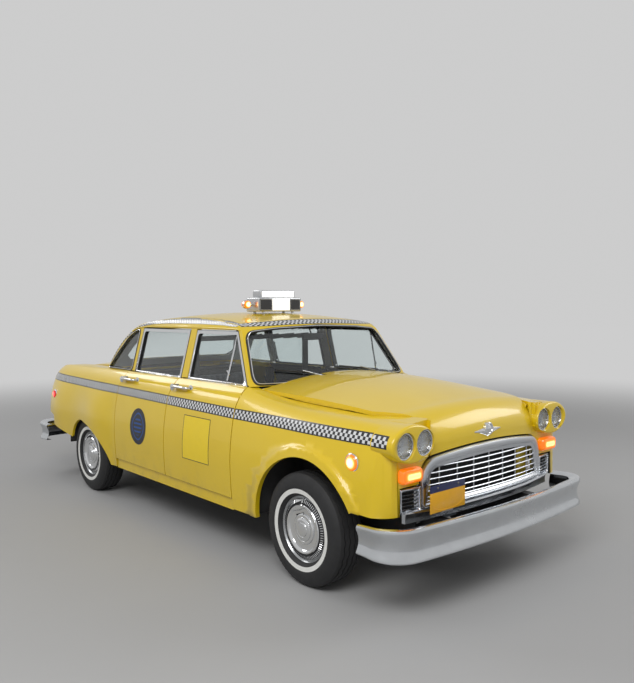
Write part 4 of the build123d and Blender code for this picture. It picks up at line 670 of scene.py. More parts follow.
def turned_along(bm, profile, steps, x, z, closed=False):
    """Surface spun about a line along the car, from pairs of radius and y."""
    spun(bm, [(x + radius, y, z) for radius, y in profile], steps, (x, 0, z), (0, 1, 0), closed)


def turned_across(bm, profile, steps, y=0.0, z=0.0, closed=False):
    """Surface spun about a line across the car, from pairs of x and radius."""
    spun(bm, [(x, y, z + radius) for x, radius in profile], steps, (0, y, z), (1, 0, 0), closed)


def radial_uv(bm, centre, axis, reach, faces=None):
    """UV map whose first number grows from 0 at a lens's middle to 1 at its rim.

    axis is the lens's level direction: 0 across the car, 1 along it.
    """
    uv = bm.loops.layers.uv.verify()
    for face in faces or bm.faces:
        for corner in face.loops:
            away = corner.vert.co - Vector(centre)
            share = math.hypot(away[axis] / reach[0], away.z / reach[1])
            corner[uv].uv = (min(share, 1.0), 0.5)


# Body panels

UNDERSEAL_TOP = 0.75
FENDER_SKIN_X = 0.93
DOOR_SKIN_X = 0.86
HOOD_FRONT = -2.230
POD_FRONT = -2.290
POD_FOOT = 0.880
HOOD_EDGE_X = (0.80, 0.40)
FENDER_EDGE_X = (0.40, 0.80)


def build_panels():
    """Painted panels, with underseal inside them, painted shade under the hood and the lid, and trim on the
    cabin's side.
    """
    paint = body_paint()
    dark = look("underseal")
    for place, side in SIDES:
        def skin_face(at, normal, side=side):
            inside = normal.x * side < -0.25 and abs(at.x) < FENDER_SKIN_X and at.z < UNDERSEAL_TOP
            return 1 if inside else 0

        def door_face(at, normal, side=side):
            outward = normal.x * side
            if at.z > BELT_Z + 0.004:
                return 2 if outward > 0.55 else 3
            return 1 if outward < -0.4 and abs(at.x) < DOOR_SKIN_X else 0

        for node in ("fender_", "quarter_"):
            dressed(node + place, [paint, dark], skin_face)
        for node in ("door_front_", "door_rear_"):
            dressed(node + place, [paint, look("cabin_vinyl"), look("bright_chrome"), look("window_rubber")],
                    door_face)
    # Faces of the hood and the lid that look down take the dark underseal: this is painted shade under the
    # two panels, not their own colour.
    for node in ("hood", "trunk_lid"):
        dressed(node, [paint, dark], lambda at, normal: 1 if normal.z < -0.5 else 0)
    for node in ("cowl", "rear_panels"):
        dressed(node, [paint], angle=40.0)

    def roof_face(at, normal):
        inward = normal.x * at.x + normal.y * (at.y - 0.1) * 0.4 + normal.z * (at.z - 1.0) < -0.02
        return 1 if inward else 0

    dressed("roof", [paint, look("headliner")], roof_face)
    dressed("lamp_bezels", [paint], angle=40.0)
    build_hood_edges(paint)


def cross_section(side, y, *points):
    """Ring of x and z at one place along the car, on one side of it."""
    return [(side * x, y, z) for x, z in points]


def build_hood_edges(paint):
    """Skirts under the hood's sides, gutters beside it, and webs behind the lamp pods."""
    hood = ray_tree("hood")
    for place, side in SIDES:
        fender = ray_tree("fender_" + place)
        skirt, gutter, web = [], [], []
        for step in range(61):
            y = HOOD_FRONT + 0.020 * step
            edge, top = first_edge(hood, side, y, *HOOD_EDGE_X)
            inner, foot = first_edge(fender, side, y, *FENDER_EDGE_X)
            gutter.append(cross_section(
                side, y, (edge - 0.030, top - 0.034), (inner + 0.006, foot - 0.005),
                (inner + 0.006, foot - 0.012), (edge - 0.030, top - 0.042)))
            if top > foot + 0.010:
                skirt.append(cross_section(
                    side, y, (edge - 0.003, top - 0.002), (edge - 0.0005, top - 0.004),
                    (edge + 0.001, foot + 0.004), (edge - 0.003, foot + 0.004)))
        for step in range(18):
            y = POD_FRONT + 0.018 * step
            inner, top = first_edge(fender, side, max(y, HOOD_FRONT), *FENDER_EDGE_X)
            web.append(cross_section(
                side, y, (inner + 0.004, POD_FOOT), (inner + 0.004, top - 0.006),
                (inner + 0.008, top - 0.006), (inner + 0.008, POD_FOOT)))
        for name, stations, body in (
                ("hood_skirt_", skirt, "hood"), ("hood_gutter_", gutter, "body"), ("pod_web_", web, "body")):
            skinned(name + place, stations, body, paint, 30.0)


def first_edge(tree, side, y, start, end):
    """Distance from the middle, and height, where rays from above first meet a panel."""
    for step in range(101):
        x = between(start, end, step / 100)
        place = tree.ray_cast(Vector((side * x, y, 2.0)), Vector((0, 0, -1)))[0]
        if place is not None and place.z > 0.8:
            return x, place.z
    raise RuntimeError(f"no edge at {y:.3f}")


# Chequered bands

# Edges of a side band: height at BAND_AT, and its rise for each metre further back
BAND_AT = -0.0505
BAND_LOW = (0.9345, 0.0097)
BAND_HIGH = (1.0030, 0.0100)


def side_band_z(y, share):
    """Height on a side band, from its lower edge to its upper one."""
    low, high = (height + rise * (y - BAND_AT) for height, rise in (BAND_LOW, BAND_HIGH))
    return between(low, high, share)


SIDE_ROWS = 3
ROOF_ROWS = 3
BAND_EDGE = 0.40
ROOF_BAND = (
    # From the foot behind, forward along the roof's side: y and z of the lower edge, y and z of the upper one
    (1.300, 1.137, 1.336, 1.166),
    (1.257, 1.186, 1.294, 1.215),
    (1.206, 1.251, 1.244, 1.279),
    (1.159, 1.311, 1.194, 1.343),
    (1.113, 1.360, 1.145, 1.394),
    (1.068, 1.397, 1.093, 1.434),
    (1.000, 1.437, 1.020, 1.478),
    (0.915, 1.475, 0.930, 1.517),
    (0.830, 1.503, 0.840, 1.546),
    (0.735, 1.522, 0.740, 1.566),
    (0.600, 1.536, 0.600, 1.580),
    (0.400, 1.543, 0.400, 1.588),
    (0.200, 1.545, 0.200, 1.590),
    (0.000, 1.545, 0.000, 1.590),
    (-0.220, 1.543, -0.220, 1.588),
    (-0.450, 1.538, -0.450, 1.581),
)
CORNER_BAND = (1.530, 1.571)
FRONT_BAND = ((1.532, 1.573), (1.542, 1.590))
BAND_TURN = 0.450
BAND_REACH = 0.078
BAND_CELL = 0.008
BAND_CELLS_UP = 5


def build_bands():
    """Chequered bands along both sides and round the roof."""
    settings = bpy.context.scene.taxi_band
    spans = (
        ("fender_", NOSE_Y + 0.020, SEAM_FRONT - SEAM_GAP, "body"),
        ("door_front_", SEAM_FRONT + SEAM_GAP, SEAM_MIDDLE - SEAM_GAP, "door_front_"),
        ("door_rear_", SEAM_MIDDLE + SEAM_GAP, SEAM_REAR - SEAM_GAP, "door_rear_"),
        ("quarter_", SEAM_REAR + SEAM_GAP, TAIL_Y - 0.05, "body"),
    )
    for place, side in SIDES:
        for node, near, far, body in spans:
            tree = ray_tree(node + place, "lamp_bezels")

            def ray(along, up, near=near, far=far, side=side):
                y = between(near, far, along)
                return (side * 1.2, y, side_band_z(y, up)), (-side, 0, 0)

            cells = (max(12, int((far - near) / BAND_CELL)), BAND_CELLS_UP)
            rides_on = body if body == "body" else body + place
            sheet = draped(f"chequers_{node}{place}", tree, ray, cells, rides_on, [chequers(SIDE_ROWS)],
                           settings.lift)
            map_band(sheet, SIDE_ROWS)
    shell = ray_tree("roof")
    stations = []
    for low, high, way in roof_band_stations():
        foot = on_skin(shell, low, way)
        while (on_skin(shell, high, way) - foot).length > BAND_REACH:
            high = [between(a, b, 0.93) for a, b in zip(low, high)]
        stations.append((low, high, way))
    total = len(stations) - 1

    def round_roof(along, up):
        index = min(round(along * total), total)
        low, high, way = stations[index]
        return [between(a, b, up) for a, b in zip(low, high)], way

    sheet = draped("chequers_roof", shell, round_roof, (total, BAND_CELLS_UP), "body", [chequers(ROOF_ROWS)],
                   settings.lift)
    map_band(sheet, ROOF_ROWS, columns=total)


def roof_band_stations():
    """Rays round the roof, from its right foot behind over the screen to its left one."""
    right = []
    for first, second in zip(ROOF_BAND, ROOF_BAND[1:]):
        count = max(2, round(math.dist(first[:2], second[:2]) / 0.02))
        for step in range(count):
            low_y, low_z, high_y, high_z = (between(a, b, step / count) for a, b in zip(first, second))
            right.append(((-1.2, low_y, low_z), (-1.2, high_y, high_z), (1.0, 0.0, 0.0)))
    side_low, side_high = ROOF_BAND[-1][1], ROOF_BAND[-1][3]
    (edge_low, edge_high), (middle_low, middle_high) = FRONT_BAND
    for step in range(19):
        share = step / 18
        way = (math.cos(share * math.pi / 2), math.sin(share * math.pi / 2))
        start = (-BAND_TURN - way[0] * 0.8, -BAND_TURN - way[1] * 0.8)
        bend = 1 - (2 * share - 1) ** 2
        low = between(between(side_low, edge_low, share), CORNER_BAND[0], bend)
        high = between(between(side_high, edge_high, share), CORNER_BAND[1], bend)
        right.append(((*start, low), (*start, high), (*way, 0.0)))
    front = []
    for step in range(1, 48):
        x = between(-BAND_TURN, BAND_TURN, step / 48)
        rise = 1 - (x / BAND_TURN) ** 2
        low, high = between(edge_low, middle_low, rise), between(edge_high, middle_high, rise)
        front.append(((x, -1.6, low), (x, -1.6, high), (0.0, 1.0, 0.0)))
    left = [((-a[0], *a[1:]), (-b[0], *b[1:]), (-way[0], *way[1:])) for a, b, way in reversed(right)]
    return right + front + left


def map_band(sheet, rows, columns=0):
    """Map a band in metres along it and in rows of squares across it."""
    mesh = sheet.data
    distance = [0.0]
    if columns:
        middle = (len(mesh.vertices) // (columns + 1)) // 2
        line = [mesh.vertices[middle * (columns + 1) + index].co for index in range(columns + 1)]
        for first, second in zip(line, line[1:]):
            distance.append(distance[-1] + (second - first).length)
    for corner, vertex in zip(mesh.uv_layers[0].data, mesh.loops):
        along, up = corner.uv
        metres = distance[round(along * columns)] if columns else mesh.vertices[vertex.vertex_index].co.y
        corner.uv = (metres + 10.0, between(-BAND_EDGE, rows + BAND_EDGE, up))


# Window trim

SCREEN_HALF = (
    (0.0, 1.156),
    (0.560, 1.142),
    (0.722, 1.144),
    (0.724, 1.190),
    (0.652, 1.456),
    (0.616, 1.492),
    (0.400, 1.512),
    (0.0, 1.524),
)
BACKLIGHT_HALF = (
    (0.0, 1.192),
    (0.540, 1.190),
    (0.600, 1.240),
    (0.520, 1.446),
    (0.470, 1.478),
    (0.0, 1.494),
)
QUARTER_WINDOW = (
    (0.8205, 1.142),
    (0.8205, 1.488),
    (0.9005, 1.474),
    (1.0055, 1.421),
    (1.1355, 1.301),
    (1.2725, 1.142),
)


def whole_outline(half):
    """Both halves of an outline in x and z."""
    return list(half) + [(-x, z) for x, z in reversed(half[1:-1])]


def grown(points, by):
    """Outline moved outwards from its middle."""
    middle = [sum(part) / len(points) for part in zip(*points)]
    moved = []
    for point in points:
        away = Vector((point[0] - middle[0], point[1] - middle[1]))
        away += away.normalized() * by
        moved.append((middle[0] + away.x, middle[1] + away.y))
    return moved


def eased_box(left, right, low, high, turn, steps=4):
    """Box outline with small round corners."""
    corners = (
        (right - turn, high - turn, 0), (left + turn, high - turn, 90), (left + turn, low + turn, 180),
        (right - turn, low + turn, 270))
    points = []
    for x, z, first in corners:
        for step in range(steps + 1):
            angle = math.radians(first + step * 90 / steps)
            points.append((x + turn * math.cos(angle), z + turn * math.sin(angle)))
    return points


def dense(points, step):
    """Closed outline with points no further apart than a step."""
    filled = []
    for first, second in zip(points, points[1:] + points[:1]):
        count = max(1, int(math.dist(first, second) / step))
        filled += [tuple(between(a, b, i / count) for a, b in zip(first, second)) for i in range(count)]
    return filled


DRIP_RAIL = (
    # y, z
    (-0.665, 1.507),
    (-0.640, 1.514),
    (-0.500, 1.5165),
    (-0.200, 1.518),
    (0.300, 1.518),
    (0.700, 1.514),
    (0.820, 1.505),
    (0.900, 1.492),
    (0.965, 1.468),
)
VENT_POST = ((-0.6235, 1.150), (-0.6395, 1.462))
VENT_CATCH = (-0.640, 1.190)


def build_window_trim():
    """Rubbers and bright beads round the fixed windows, drip rails and the vent windows' frames."""
    shell = ray_tree("roof")
    quarter = list(QUARTER_WINDOW)
    windows = (
        # Name, outline, ray from two of its numbers, the ray's reach, half width of the rubber
        ("screen", whole_outline(SCREEN_HALF), lambda a, b: ((a, -1.8, b), (0, 1, 0)), 1.3, 0.011),
        ("backlight", whole_outline(BACKLIGHT_HALF), lambda a, b: ((a, 2.4, b), (0, -1, 0)), 1.5, 0.011),
        ("quarter_left", quarter, lambda a, b: ((1.4, a, b), (-1, 0, 0)), 0.95, 0.007),
        ("quarter_right", quarter, lambda a, b: ((-1.4, a, b), (1, 0, 0)), 0.95, 0.007),
    )
    for name, outline, ray, reach, wide in windows:
        for part, grow, radius, lift, material in (
                ("rubber", 0.006, wide, -0.002, look("window_rubber")),
                ("bead", 0.002, 0.0032, wide - 0.003, look("bright_chrome"))):
            path = dense(grown(outline, grow), 0.012)
            line = eased([on_skin(shell, *ray(a, b), lift, reach) for a, b in path], 6)
            bm = bmesh.new()
            ring_mesh(bm, line, radius)
            piece(f"{name}_{part}", bm, "body", [material])
    for place, side in SIDES:
        bm = bmesh.new()
        run = rounded(list(DRIP_RAIL), 2, closed=False)
        rod_mesh(bm, [from_side(shell, side, y, z, 0.002) for y, z in run], 0.0065, sides=8)
        piece(f"drip_rail_{place}", bm, "body", [body_paint()])
        pane = ray_tree(f"glass_front_{place}")
        bm = bmesh.new()
        posts = [[between(a, b, i / 6) for a, b in zip(*VENT_POST)] for i in range(7)]
        rod_mesh(bm, [from_side(pane, side, y, z, 0.002) for y, z in posts], 0.0075, sides=8)
        catch = from_side(pane, side, *VENT_CATCH, 0.004)
        rod_mesh(bm, [catch, catch + Vector((0, 0.03, 0.03))], 0.005)
        piece(f"vent_post_{place}", bm, f"door_front_{place}", [look("bright_chrome")])


# Grille

GRILLE_TOP = 0.855
GRILLE_X = 0.585
GRILLE_BOTTOM = 0.545
GRILLE_SECTION = (
    # Across the surround from its outer edge: share of its width, how far it stands forward
    (0.00, -0.030),
    (0.00, 0.004),
    (0.05, 0.011),
    (0.16, 0.0145),
    (0.34, 0.0150),
    (0.50, 0.0135),
    (0.60, 0.0095),
    (0.66, 0.0050),
    (0.72, 0.0035),
    (0.92, 0.0025),
    (0.98, 0.0005),
    (1.00, -0.006),
    (1.00, -0.030),
)


def face_y(x):
    """Front of the bowed face at a distance from the middle."""
    return FACE_FRONT + 0.04 * (x / GRILLE_X) ** 2


def grille_outline():
    """Outer edge of the surround, anticlockwise from the front."""
    edge, top = GRILLE_X, GRILLE_TOP
    over = arc((edge - 0.115, top - 0.028), (0, top), (-edge + 0.115, top - 0.028), 36)
    shoulder = arc((edge, top - 0.160), (edge - 0.028, top - 0.076), (edge - 0.115, top - 0.028), 14)
    other = [(-x, z) for x, z in reversed(shoulder)]
    foot = arc((-edge, GRILLE_BOTTOM + 0.022), (-edge + 0.006, GRILLE_BOTTOM + 0.006),
               (-edge + 0.022, GRILLE_BOTTOM), 5)
    end = [(-x, z) for x, z in reversed(foot)]
    base = [(between(-0.54, 0.54, i / 22), GRILLE_BOTTOM) for i in range(23)]
    return shoulder + over[1:] + other[1:] + foot + base + end


BAR_SECTION = (
    # Depth behind the face, height
    (0.018, -0.0025),
    (0.006, -0.0048),
    (0.002, -0.0030),
    (0.0005, 0.0),
    (0.002, 0.0030),
    (0.006, 0.0048),
    (0.018, 0.0025),
)
SLAT_SECTION = ((0.020, -0.0015), (0.005, -0.0032), (0.0, 0.0), (0.005, 0.0032), (0.020, 0.0015))
SIDE_GRILLE = (0.592, 0.740, 0.537, 0.675)
SIDE_GRILLE_RIM = ((0.0, -0.03), (0.0, 0.008), (0.003, 0.012), (0.010, 0.012), (0.013, 0.006), (0.013, -0.03))
VALANCE_SECTION = (
    # Depth behind the face, height, share of the lift towards the ends
    (0.020, 0.541, 1.0),
    (-0.002, 0.540, 1.0),
    (-0.010, 0.534, 1.0),
    (-0.014, 0.524, 1.0),
    (-0.006, 0.516, 0.8),
    (-0.003, 0.500, 0.4),
    (-0.006, 0.485, 0.0),
    (0.000, 0.479, 0.0),
    (0.020, 0.479, 0.0),
)
UPRIGHT_TOP = ((0.0, 0.806), (0.30, 0.796), (0.44, 0.780))
UPRIGHT_PITCH = 0.146
UPRIGHT_FOOT = 0.575
OPENING_TOP = 0.800
BAR_FOOT = 0.602
BAR_PITCH = 0.033
SLAT_FOOT = 0.557
SLAT_PITCH = 0.0195
SURROUND_WIDE = (0.040, 0.066)


def grille_half(z):
    """Half width of the grille's opening at a height."""
    crossings = [x for x, height in grille_outline() if x > 0 and abs(height - z) < 0.012]
    return (max(crossings) if crossings else GRILLE_X) - 0.048


def face_bar(bm, side, near, far, steps, z, section):
    """Bar across the bowed face between two distances from the middle."""
    places = [between(near, far, step / steps) for step in range(steps + 1)]
    skin_over(bm, [[(side * x, face_y(x) + depth, z + rise) for depth, rise in section] for x in places])


def build_grille():
    """Bowed surround, its bars, the two side grilles and the panel below."""
    silver = look("brushed_silver")
    outline = grille_outline()
    stations = []
    for index, (x, z) in enumerate(outline):
        ahead = Vector(outline[(index + 1) % len(outline)]) - Vector(outline[index - 1])
        inward = Vector((-ahead.y, ahead.x)).normalized()
        low = min(1.0, max(0.0, (z - GRILLE_BOTTOM - 0.01) / 0.08))
        width = between(*SURROUND_WIDE, low)
        ring = []
        for share, forward in GRILLE_SECTION:
            at = Vector((x, z)) + inward * share * width
            ring.append((at.x, face_y(at.x) - forward, at.y))
        stations.append(ring)
    surround = skinned("grille_surround", stations, "body", silver, 30.0, closed=True)
    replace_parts(surround, "grille")

    bars, uprights = bmesh.new(), bmesh.new()
    for level in range(6):
        z = BAR_FOOT + level * BAR_PITCH
        half = grille_half(z)
        face_bar(bars, 1, -half, half, 24, z, BAR_SECTION)
    for place in range(-3, 4):
        x = place * UPRIGHT_PITCH
        y = face_y(x) + 0.009
        top = min(OPENING_TOP, look_up(UPRIGHT_TOP, abs(x)))
        rod_mesh(uprights, [(x, y, UPRIGHT_FOOT), (x, y, top)], 0.0042, sides=8)
    piece("grille_bars", bars, "body", [silver], angle=50.0)
    piece("grille_uprights", uprights, "body", [silver], angle=50.0)

    boxes("radiator_core", [((-0.430, -2.195, 0.560), (0.430, -2.180, 0.800), 0.003, 1)],
          "body", look("radiator_core"))
    boxes("grille_baffles",
          [((middle - 0.0625, -2.215, 0.560), (middle + 0.0625, -2.200, 0.770), 0.003, 1)
           for middle in (0.4975, -0.4975)], "body", body_paint())
    boxes("gravel_pans", [
        ((-0.760, -2.425, 0.420), (0.760, -2.270, 0.424), 0.001, 1),
        ((-0.780, 2.455, 0.440), (0.780, 2.640, 0.444), 0.001, 1)], "body", look("underseal"))

    inner, outer, low, high = SIDE_GRILLE
    middle = ((inner + outer) / 2, (low + high) / 2)
    for place, side in SIDES:
        stations = []
        for x, z in eased_box(inner, outer, low, high, 0.010):
            ring = []
            for inset, forward in SIDE_GRILLE_RIM:
                at_x = x + math.copysign(min(inset, abs(x - middle[0])), middle[0] - x)
                at_z = z + math.copysign(min(inset, abs(z - middle[1])), middle[1] - z)
                ring.append((side * at_x, face_y(at_x) - forward, at_z))
            stations.append(ring)
        bm = bmesh.new()
        skin_over(bm, stations, closed=True)
        for level in range(6):
            z = SLAT_FOOT + level * SLAT_PITCH
            face_bar(bm, side, inner + 0.008, outer - 0.008, 7, z, SLAT_SECTION)
        piece(f"side_grille_{place}", bm, "body", [silver], angle=40.0)

    stations = []
    for step in range(41):
        x = between(-0.700, 0.700, step / 40)
        lift = 0.012 * max(0.0, (abs(x) - 0.42) / 0.28)
        stations.append([(x, face_y(x) + depth, z + lift * share) for depth, z, share in VALANCE_SECTION])
    skinned("nose_valance", stations, "body", silver, 30.0)


# Bumpers

BUMPER_SECTION = (
    # Down the bumper's face: depth behind its furthest point, height
    (0.070, 0.5560),
    (0.052, 0.5640),
    (0.034, 0.5700),
    (0.018, 0.5715),
    (0.006, 0.5660),
    (0.001, 0.5550),
    (0.002, 0.5420),
    (0.010, 0.5220),
    (0.018, 0.4980),
    (0.021, 0.4700),
    (0.018, 0.4420),
    (0.009, 0.4160),
    (0.001, 0.3990),
    (0.001, 0.3900),
    (0.008, 0.3850),
    (0.040, 0.3845),
)
BUMPER_HALF = 0.965
BUMPER_WALL = 0.004
BUMPER_LOW = 0.3845
BUMPER_HIGH = 0.5715
BUMPER_MIDDLE = 0.47
BUMPER_END_SHARE = 0.86
BUMPER_CORNER = (
    # In from the bumper's side, back from its front
    (0.0, 0.270),
    (0.038, 0.118),
    (0.165, 0.046),
)


def bumper_path(front, end_y):
    """Plan of a bumper's outermost line from one end round to the other."""
    side = BUMPER_HALF
    points = [(side - inset, front + depth) for inset, depth in BUMPER_CORNER]
    corner = arc(*points, 16)
    middle = arc(points[-1], (0, front), (-points[-1][0], points[-1][1]), 44)
    run = [(side, between(end_y, points[0][1], i / 5)) for i in range(5)]
    other = [(-x, y) for x, y in reversed(run + corner[:-1])]
    return run + corner[:-1] + middle + other


def build_bumpers():
    """Rolled bumpers with a hollow face and slimmer ends, front and rear."""
    inner = [(depth + BUMPER_WALL, between(z, BUMPER_MIDDLE, 0.03)) for depth, z in reversed(BUMPER_SECTION)]
    for name, flip in (("bumper_front", 1), ("bumper_rear", -1)):
        box = [Vector(corner) for corner in nodes[name].bound_box]
        along = sorted(corner.y * flip for corner in box)
        foot, top = min(corner.z for corner in box), max(corner.z for corner in box)
        path = bumper_path(along[0], along[-1])
        stations = []
        for index, (x, y) in enumerate(path):
            before = path[max(index - 1, 0)]
            after = path[min(index + 1, len(path) - 1)]
            ahead = Vector((after[0] - before[0], after[1] - before[1])).normalized()
            inward = Vector((-ahead.y, ahead.x))
            if inward.dot(Vector((-x, -y))) < 0:
                inward = -inward
            slim = between(1.0, BUMPER_END_SHARE, min(1.0, max(0.0, (y - along[0] - 0.12) / 0.25)))
            ring = []
            for depth, z in list(BUMPER_SECTION) + inner:
                at = Vector((x, y)) + inward * depth
                share = (z - BUMPER_LOW) / (BUMPER_HIGH - BUMPER_LOW)
                height = between((foot + top) / 2, between(foot, top, share), slim)
                ring.append((at.x, at.y * flip - SHIFT.y, height))
            stations.append(ring)
        bar = skinned(name + "_bar", stations, "body", look("worn_chrome"), 40.0)
        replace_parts(bar, name)


# Lamps

HEADLAMPS = ((0.596, 0.922), (0.753, 0.919))
HEADLAMP_RIM = (
    # Radius, y
    (0.0745, -2.262),
    (0.0745, -2.300),
    (0.0720, -2.304),
    (0.0670, -2.303),
    (0.0650, -2.298),
    (0.0650, -2.262),
)
HEADLAMP_BOWL = (
    (0.064, -2.296),
    (0.058, -2.284),
    (0.046, -2.276),
    (0.032, -2.270),
    (0.016, -2.267),
    (0.008, -2.2665),
    (0.008, -2.280),
    (0.004, -2.283),
    (0.0, -2.2835),
)
HEADLAMP_LENS = (
    (0.0, -2.3105),
    (0.020, -2.310),
    (0.040, -2.3075),
    (0.055, -2.304),
    (0.065, -2.299),
    (0.065, -2.2955),
    (0.055, -2.3005),
    (0.040, -2.304),
    (0.020, -2.3065),
    (0.0, -2.307),
)
SIGNAL_X = 0.681
SIGNAL_Z = 0.749
SIGNAL_HALF = (0.081, 0.042)
SIGNAL_STEPS = ((0.0, -2.262), (0.0, -2.290), (0.006, -2.302), (0.018, -2.308), (0.032, -2.310))
MARKER_DOME = (
    # Height off the panel, share of the radius
    (-0.010, 1.0),
    (0.004, 1.0),
    (0.010, 0.9),
    (0.016, 0.66),
    (0.0185, 0.3),
    (0.019, 0.0),
)
MARKER_TRIM = ((-0.006, 0.007), (0.003, 0.006), (0.006, 0.002), (0.005, -0.002), (-0.006, -0.002))
WIDEST = 0.958
TAIL_LAMP_X = 0.730
TAIL_LAMPS_Z = (0.760, 0.900)
TAIL_LENS = ((0.056, 0.001), (0.056, 0.018), (0.050, 0.027), (0.034, 0.032), (0.0, 0.034))
TAIL_RING = ((0.063, -0.004), (0.062, 0.008), (0.058, 0.012), (0.055, 0.010), (0.055, -0.004))


def build_lamps():
    """Headlamps, turn signals, side markers and tail lamps."""
    plating = look("bright_chrome")
    for name, profile, steps, closed, material, angle, slot in (
            ("headlamp_rims", HEADLAMP_RIM, 64, True, plating, 35.0, "chrome"),
            ("headlamp_bowls", HEADLAMP_BOWL, 48, False, plating, 35.0, "chrome"),
            ("headlamp_lenses", HEADLAMP_LENS, 64, False, lamp_glass(), 60.0, "lamp_glass")):
        bm = bmesh.new()
        for _, side in SIDES:
            for x, z in HEADLAMPS:
                turned_along(bm, profile, steps, side * x, z, closed)
        lamp = piece(name, bm, "body", [material], angle=angle)
    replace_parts(lamp, "headlamps")
    for place, side in SIDES:
        build_turn_signal(place, side)
        build_markers(place, side)
        build_tail_lamps(place, side)


def build_turn_signal(place, side):
    """Amber signal below the headlamps."""
    x = side * SIGNAL_X
    bm = bmesh.new()
    stations = []
    for inset, y in SIGNAL_STEPS:
        half, tall = (reach - inset for reach in SIGNAL_HALF)
        turn = max(0.010, 0.024 - inset)
        outline = eased_box(x - half, x + half, SIGNAL_Z - tall, SIGNAL_Z + tall, turn, 6)
        stations.append([(at_x, y, at_z) for at_x, at_z in outline])
    skin_over(bm, stations)
    bmesh.ops.recalc_face_normals(bm, faces=bm.faces)
    radial_uv(bm, (x, -2.30, SIGNAL_Z), 0, (0.084, 0.046))
    lens = piece(f"turn_signal_{place}", bm, "body", [amber_lit()], recalculate=False)
    if side > 0:
        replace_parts(lens, "amber_lamps")


def build_markers(place, side):
    """Round markers on a fender and a quarter panel, with their rings."""
    for name, panel, y, z, radius, material, slot in (
            ("front_marker", "fender_", -2.0400, 0.812, 0.046, amber_lit(), "amber_lens"),
            ("rear_marker", "quarter_", 2.1845, 0.828, 0.040, red_lit(), "red_lens")):
        foot = from_side(ray_tree(panel + place), side, y, z).x * side
        limit = WIDEST if name == "rear_marker" else math.inf
        dome = [(side * min(foot + off, limit), radius * share) for off, share in MARKER_DOME]
        bm = bmesh.new()
        turned_across(bm, dome, 40, y, z)
        bmesh.ops.recalc_face_normals(bm, faces=bm.faces)
        radial_uv(bm, (side * foot, y, z), 1, (radius * 1.02, radius * 1.02))
        lens = piece(f"{name}_{place}", bm, "body", [material], recalculate=False)
        if name == "rear_marker" and side > 0:
            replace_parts(lens, "red_lamps")
        bm = bmesh.new()
        trim = [(side * (foot + off), radius + more) for off, more in MARKER_TRIM]
        turned_across(bm, trim, 40, y, z, closed=True)
        piece(f"{name}_trim_{place}", bm, "body", [look("bright_chrome")])


def build_tail_lamps(place, side):
    """Two round red lamps with their rings."""
    x = side * TAIL_LAMP_X
    lenses, rings = bmesh.new(), bmesh.new()
    for z in TAIL_LAMPS_Z:
        turned_along(lenses, [(radius, TAIL_Y + off) for radius, off in TAIL_LENS], 44, x, z)
        turned_along(rings, [(radius, TAIL_Y + off) for radius, off in TAIL_RING], 44, x, z, closed=True)
    bmesh.ops.recalc_face_normals(lenses, faces=lenses.faces)
    for z in TAIL_LAMPS_Z:
        near = [face for face in lenses.faces if abs(face.calc_center_median().z - z) < 0.065]
        radial_uv(lenses, (x, TAIL_Y, z), 0, (0.058, 0.058), near)
    piece(f"tail_lamps_{place}", lenses, "body", [red_lit()], recalculate=False)
    piece(f"tail_rings_{place}", rings, "body", [look("bright_chrome")])


# Wheels

COVER = (
    # Height off the wheel's middle, radius
    (0.058, 0.1925),
    (0.066, 0.1890),
    (0.0715, 0.1835),
    (0.0740, 0.1815),
    (0.0735, 0.1795),
    (0.0820, 0.1585),
    (0.0850, 0.1560),
    (0.0830, 0.1500),
    (0.0850, 0.1480),
    (0.0895, 0.1440),
    (0.0900, 0.1390),
    (0.0880, 0.1335),
    (0.0780, 0.1240),
    (0.0740, 0.1050),
    (0.0740, 0.0930),
    (0.0800, 0.0900),
    (0.0830, 0.0850),
    (0.0825, 0.0740),
    (0.0800, 0.0710),
    (0.0850, 0.0690),
    (0.0905, 0.0580),
    (0.0910, 0.0470),
    (0.0890, 0.0440),
    (0.0925, 0.0420),
    (0.0955, 0.0300),
    (0.0960, 0.0),
)
TYRE_SIDE = (
    # Out from the wheel's middle, radius
    (0.0660, 0.1900),
    (0.0745, 0.1965),
    (0.0830, 0.1990),
    (0.0900, 0.2040),
    (0.0975, 0.2110),
    (0.1010, 0.2170),
    (0.1010, 0.2172),
    (0.1024, 0.2175),
    (0.1060, 0.2448),
    (0.1052, 0.2452),
    (0.1062, 0.2500),
    (0.1071, 0.2520),
    (0.1073, 0.2640),
    (0.1060, 0.2800),
    (0.1030, 0.2960),
    (0.0985, 0.3090),
    (0.0925, 0.3200),
    (0.0905, 0.3225),
    (0.0895, 0.3260),
)
CORNERS = tuple(
    (f"{end}_{place}", side * half, y, side)
    for end, half, y in (("front", 0.806, LAYOUT_AXLE), ("rear", 0.8015, LAYOUT_AXLE + WHEELBASE))
    for place, side in SIDES
)
TREAD_RISE = ((0.0, 0.3420), (0.030, 0.3418), (0.060, 0.3400), (0.078, 0.3365), (0.0895, 0.3260))
GROOVES = (0.020, 0.056)
GROOVE_REACH = 0.016
SHOULDER = (0.082, 0.3345)
RIM = (
    (-0.076, 0.182),
    (-0.078, 0.197),
    (-0.074, 0.1985),
    (-0.068, 0.1955),
    (-0.066, 0.189),
    (0.060, 0.189),
    (0.066, 0.1955),
    (0.072, 0.2005),
    (0.078, 0.2000),
    (0.078, 0.197),
    (0.070, 0.190),
    (0.064, 0.1845),
    (-0.066, 0.1800),
)
DISC = (
    (0.034, 0.020),
    (0.034, 0.110),
    (0.010, 0.140),
    (0.020, 0.182),
    (0.028, 0.182),
    (0.018, 0.142),
    (0.044, 0.108),
    (0.044, 0.020),
)
DRUM = ((-0.066, 0.128), (-0.066, 0.142), (0.004, 0.142), (0.004, 0.060), (-0.004, 0.060), (-0.004, 0.128))


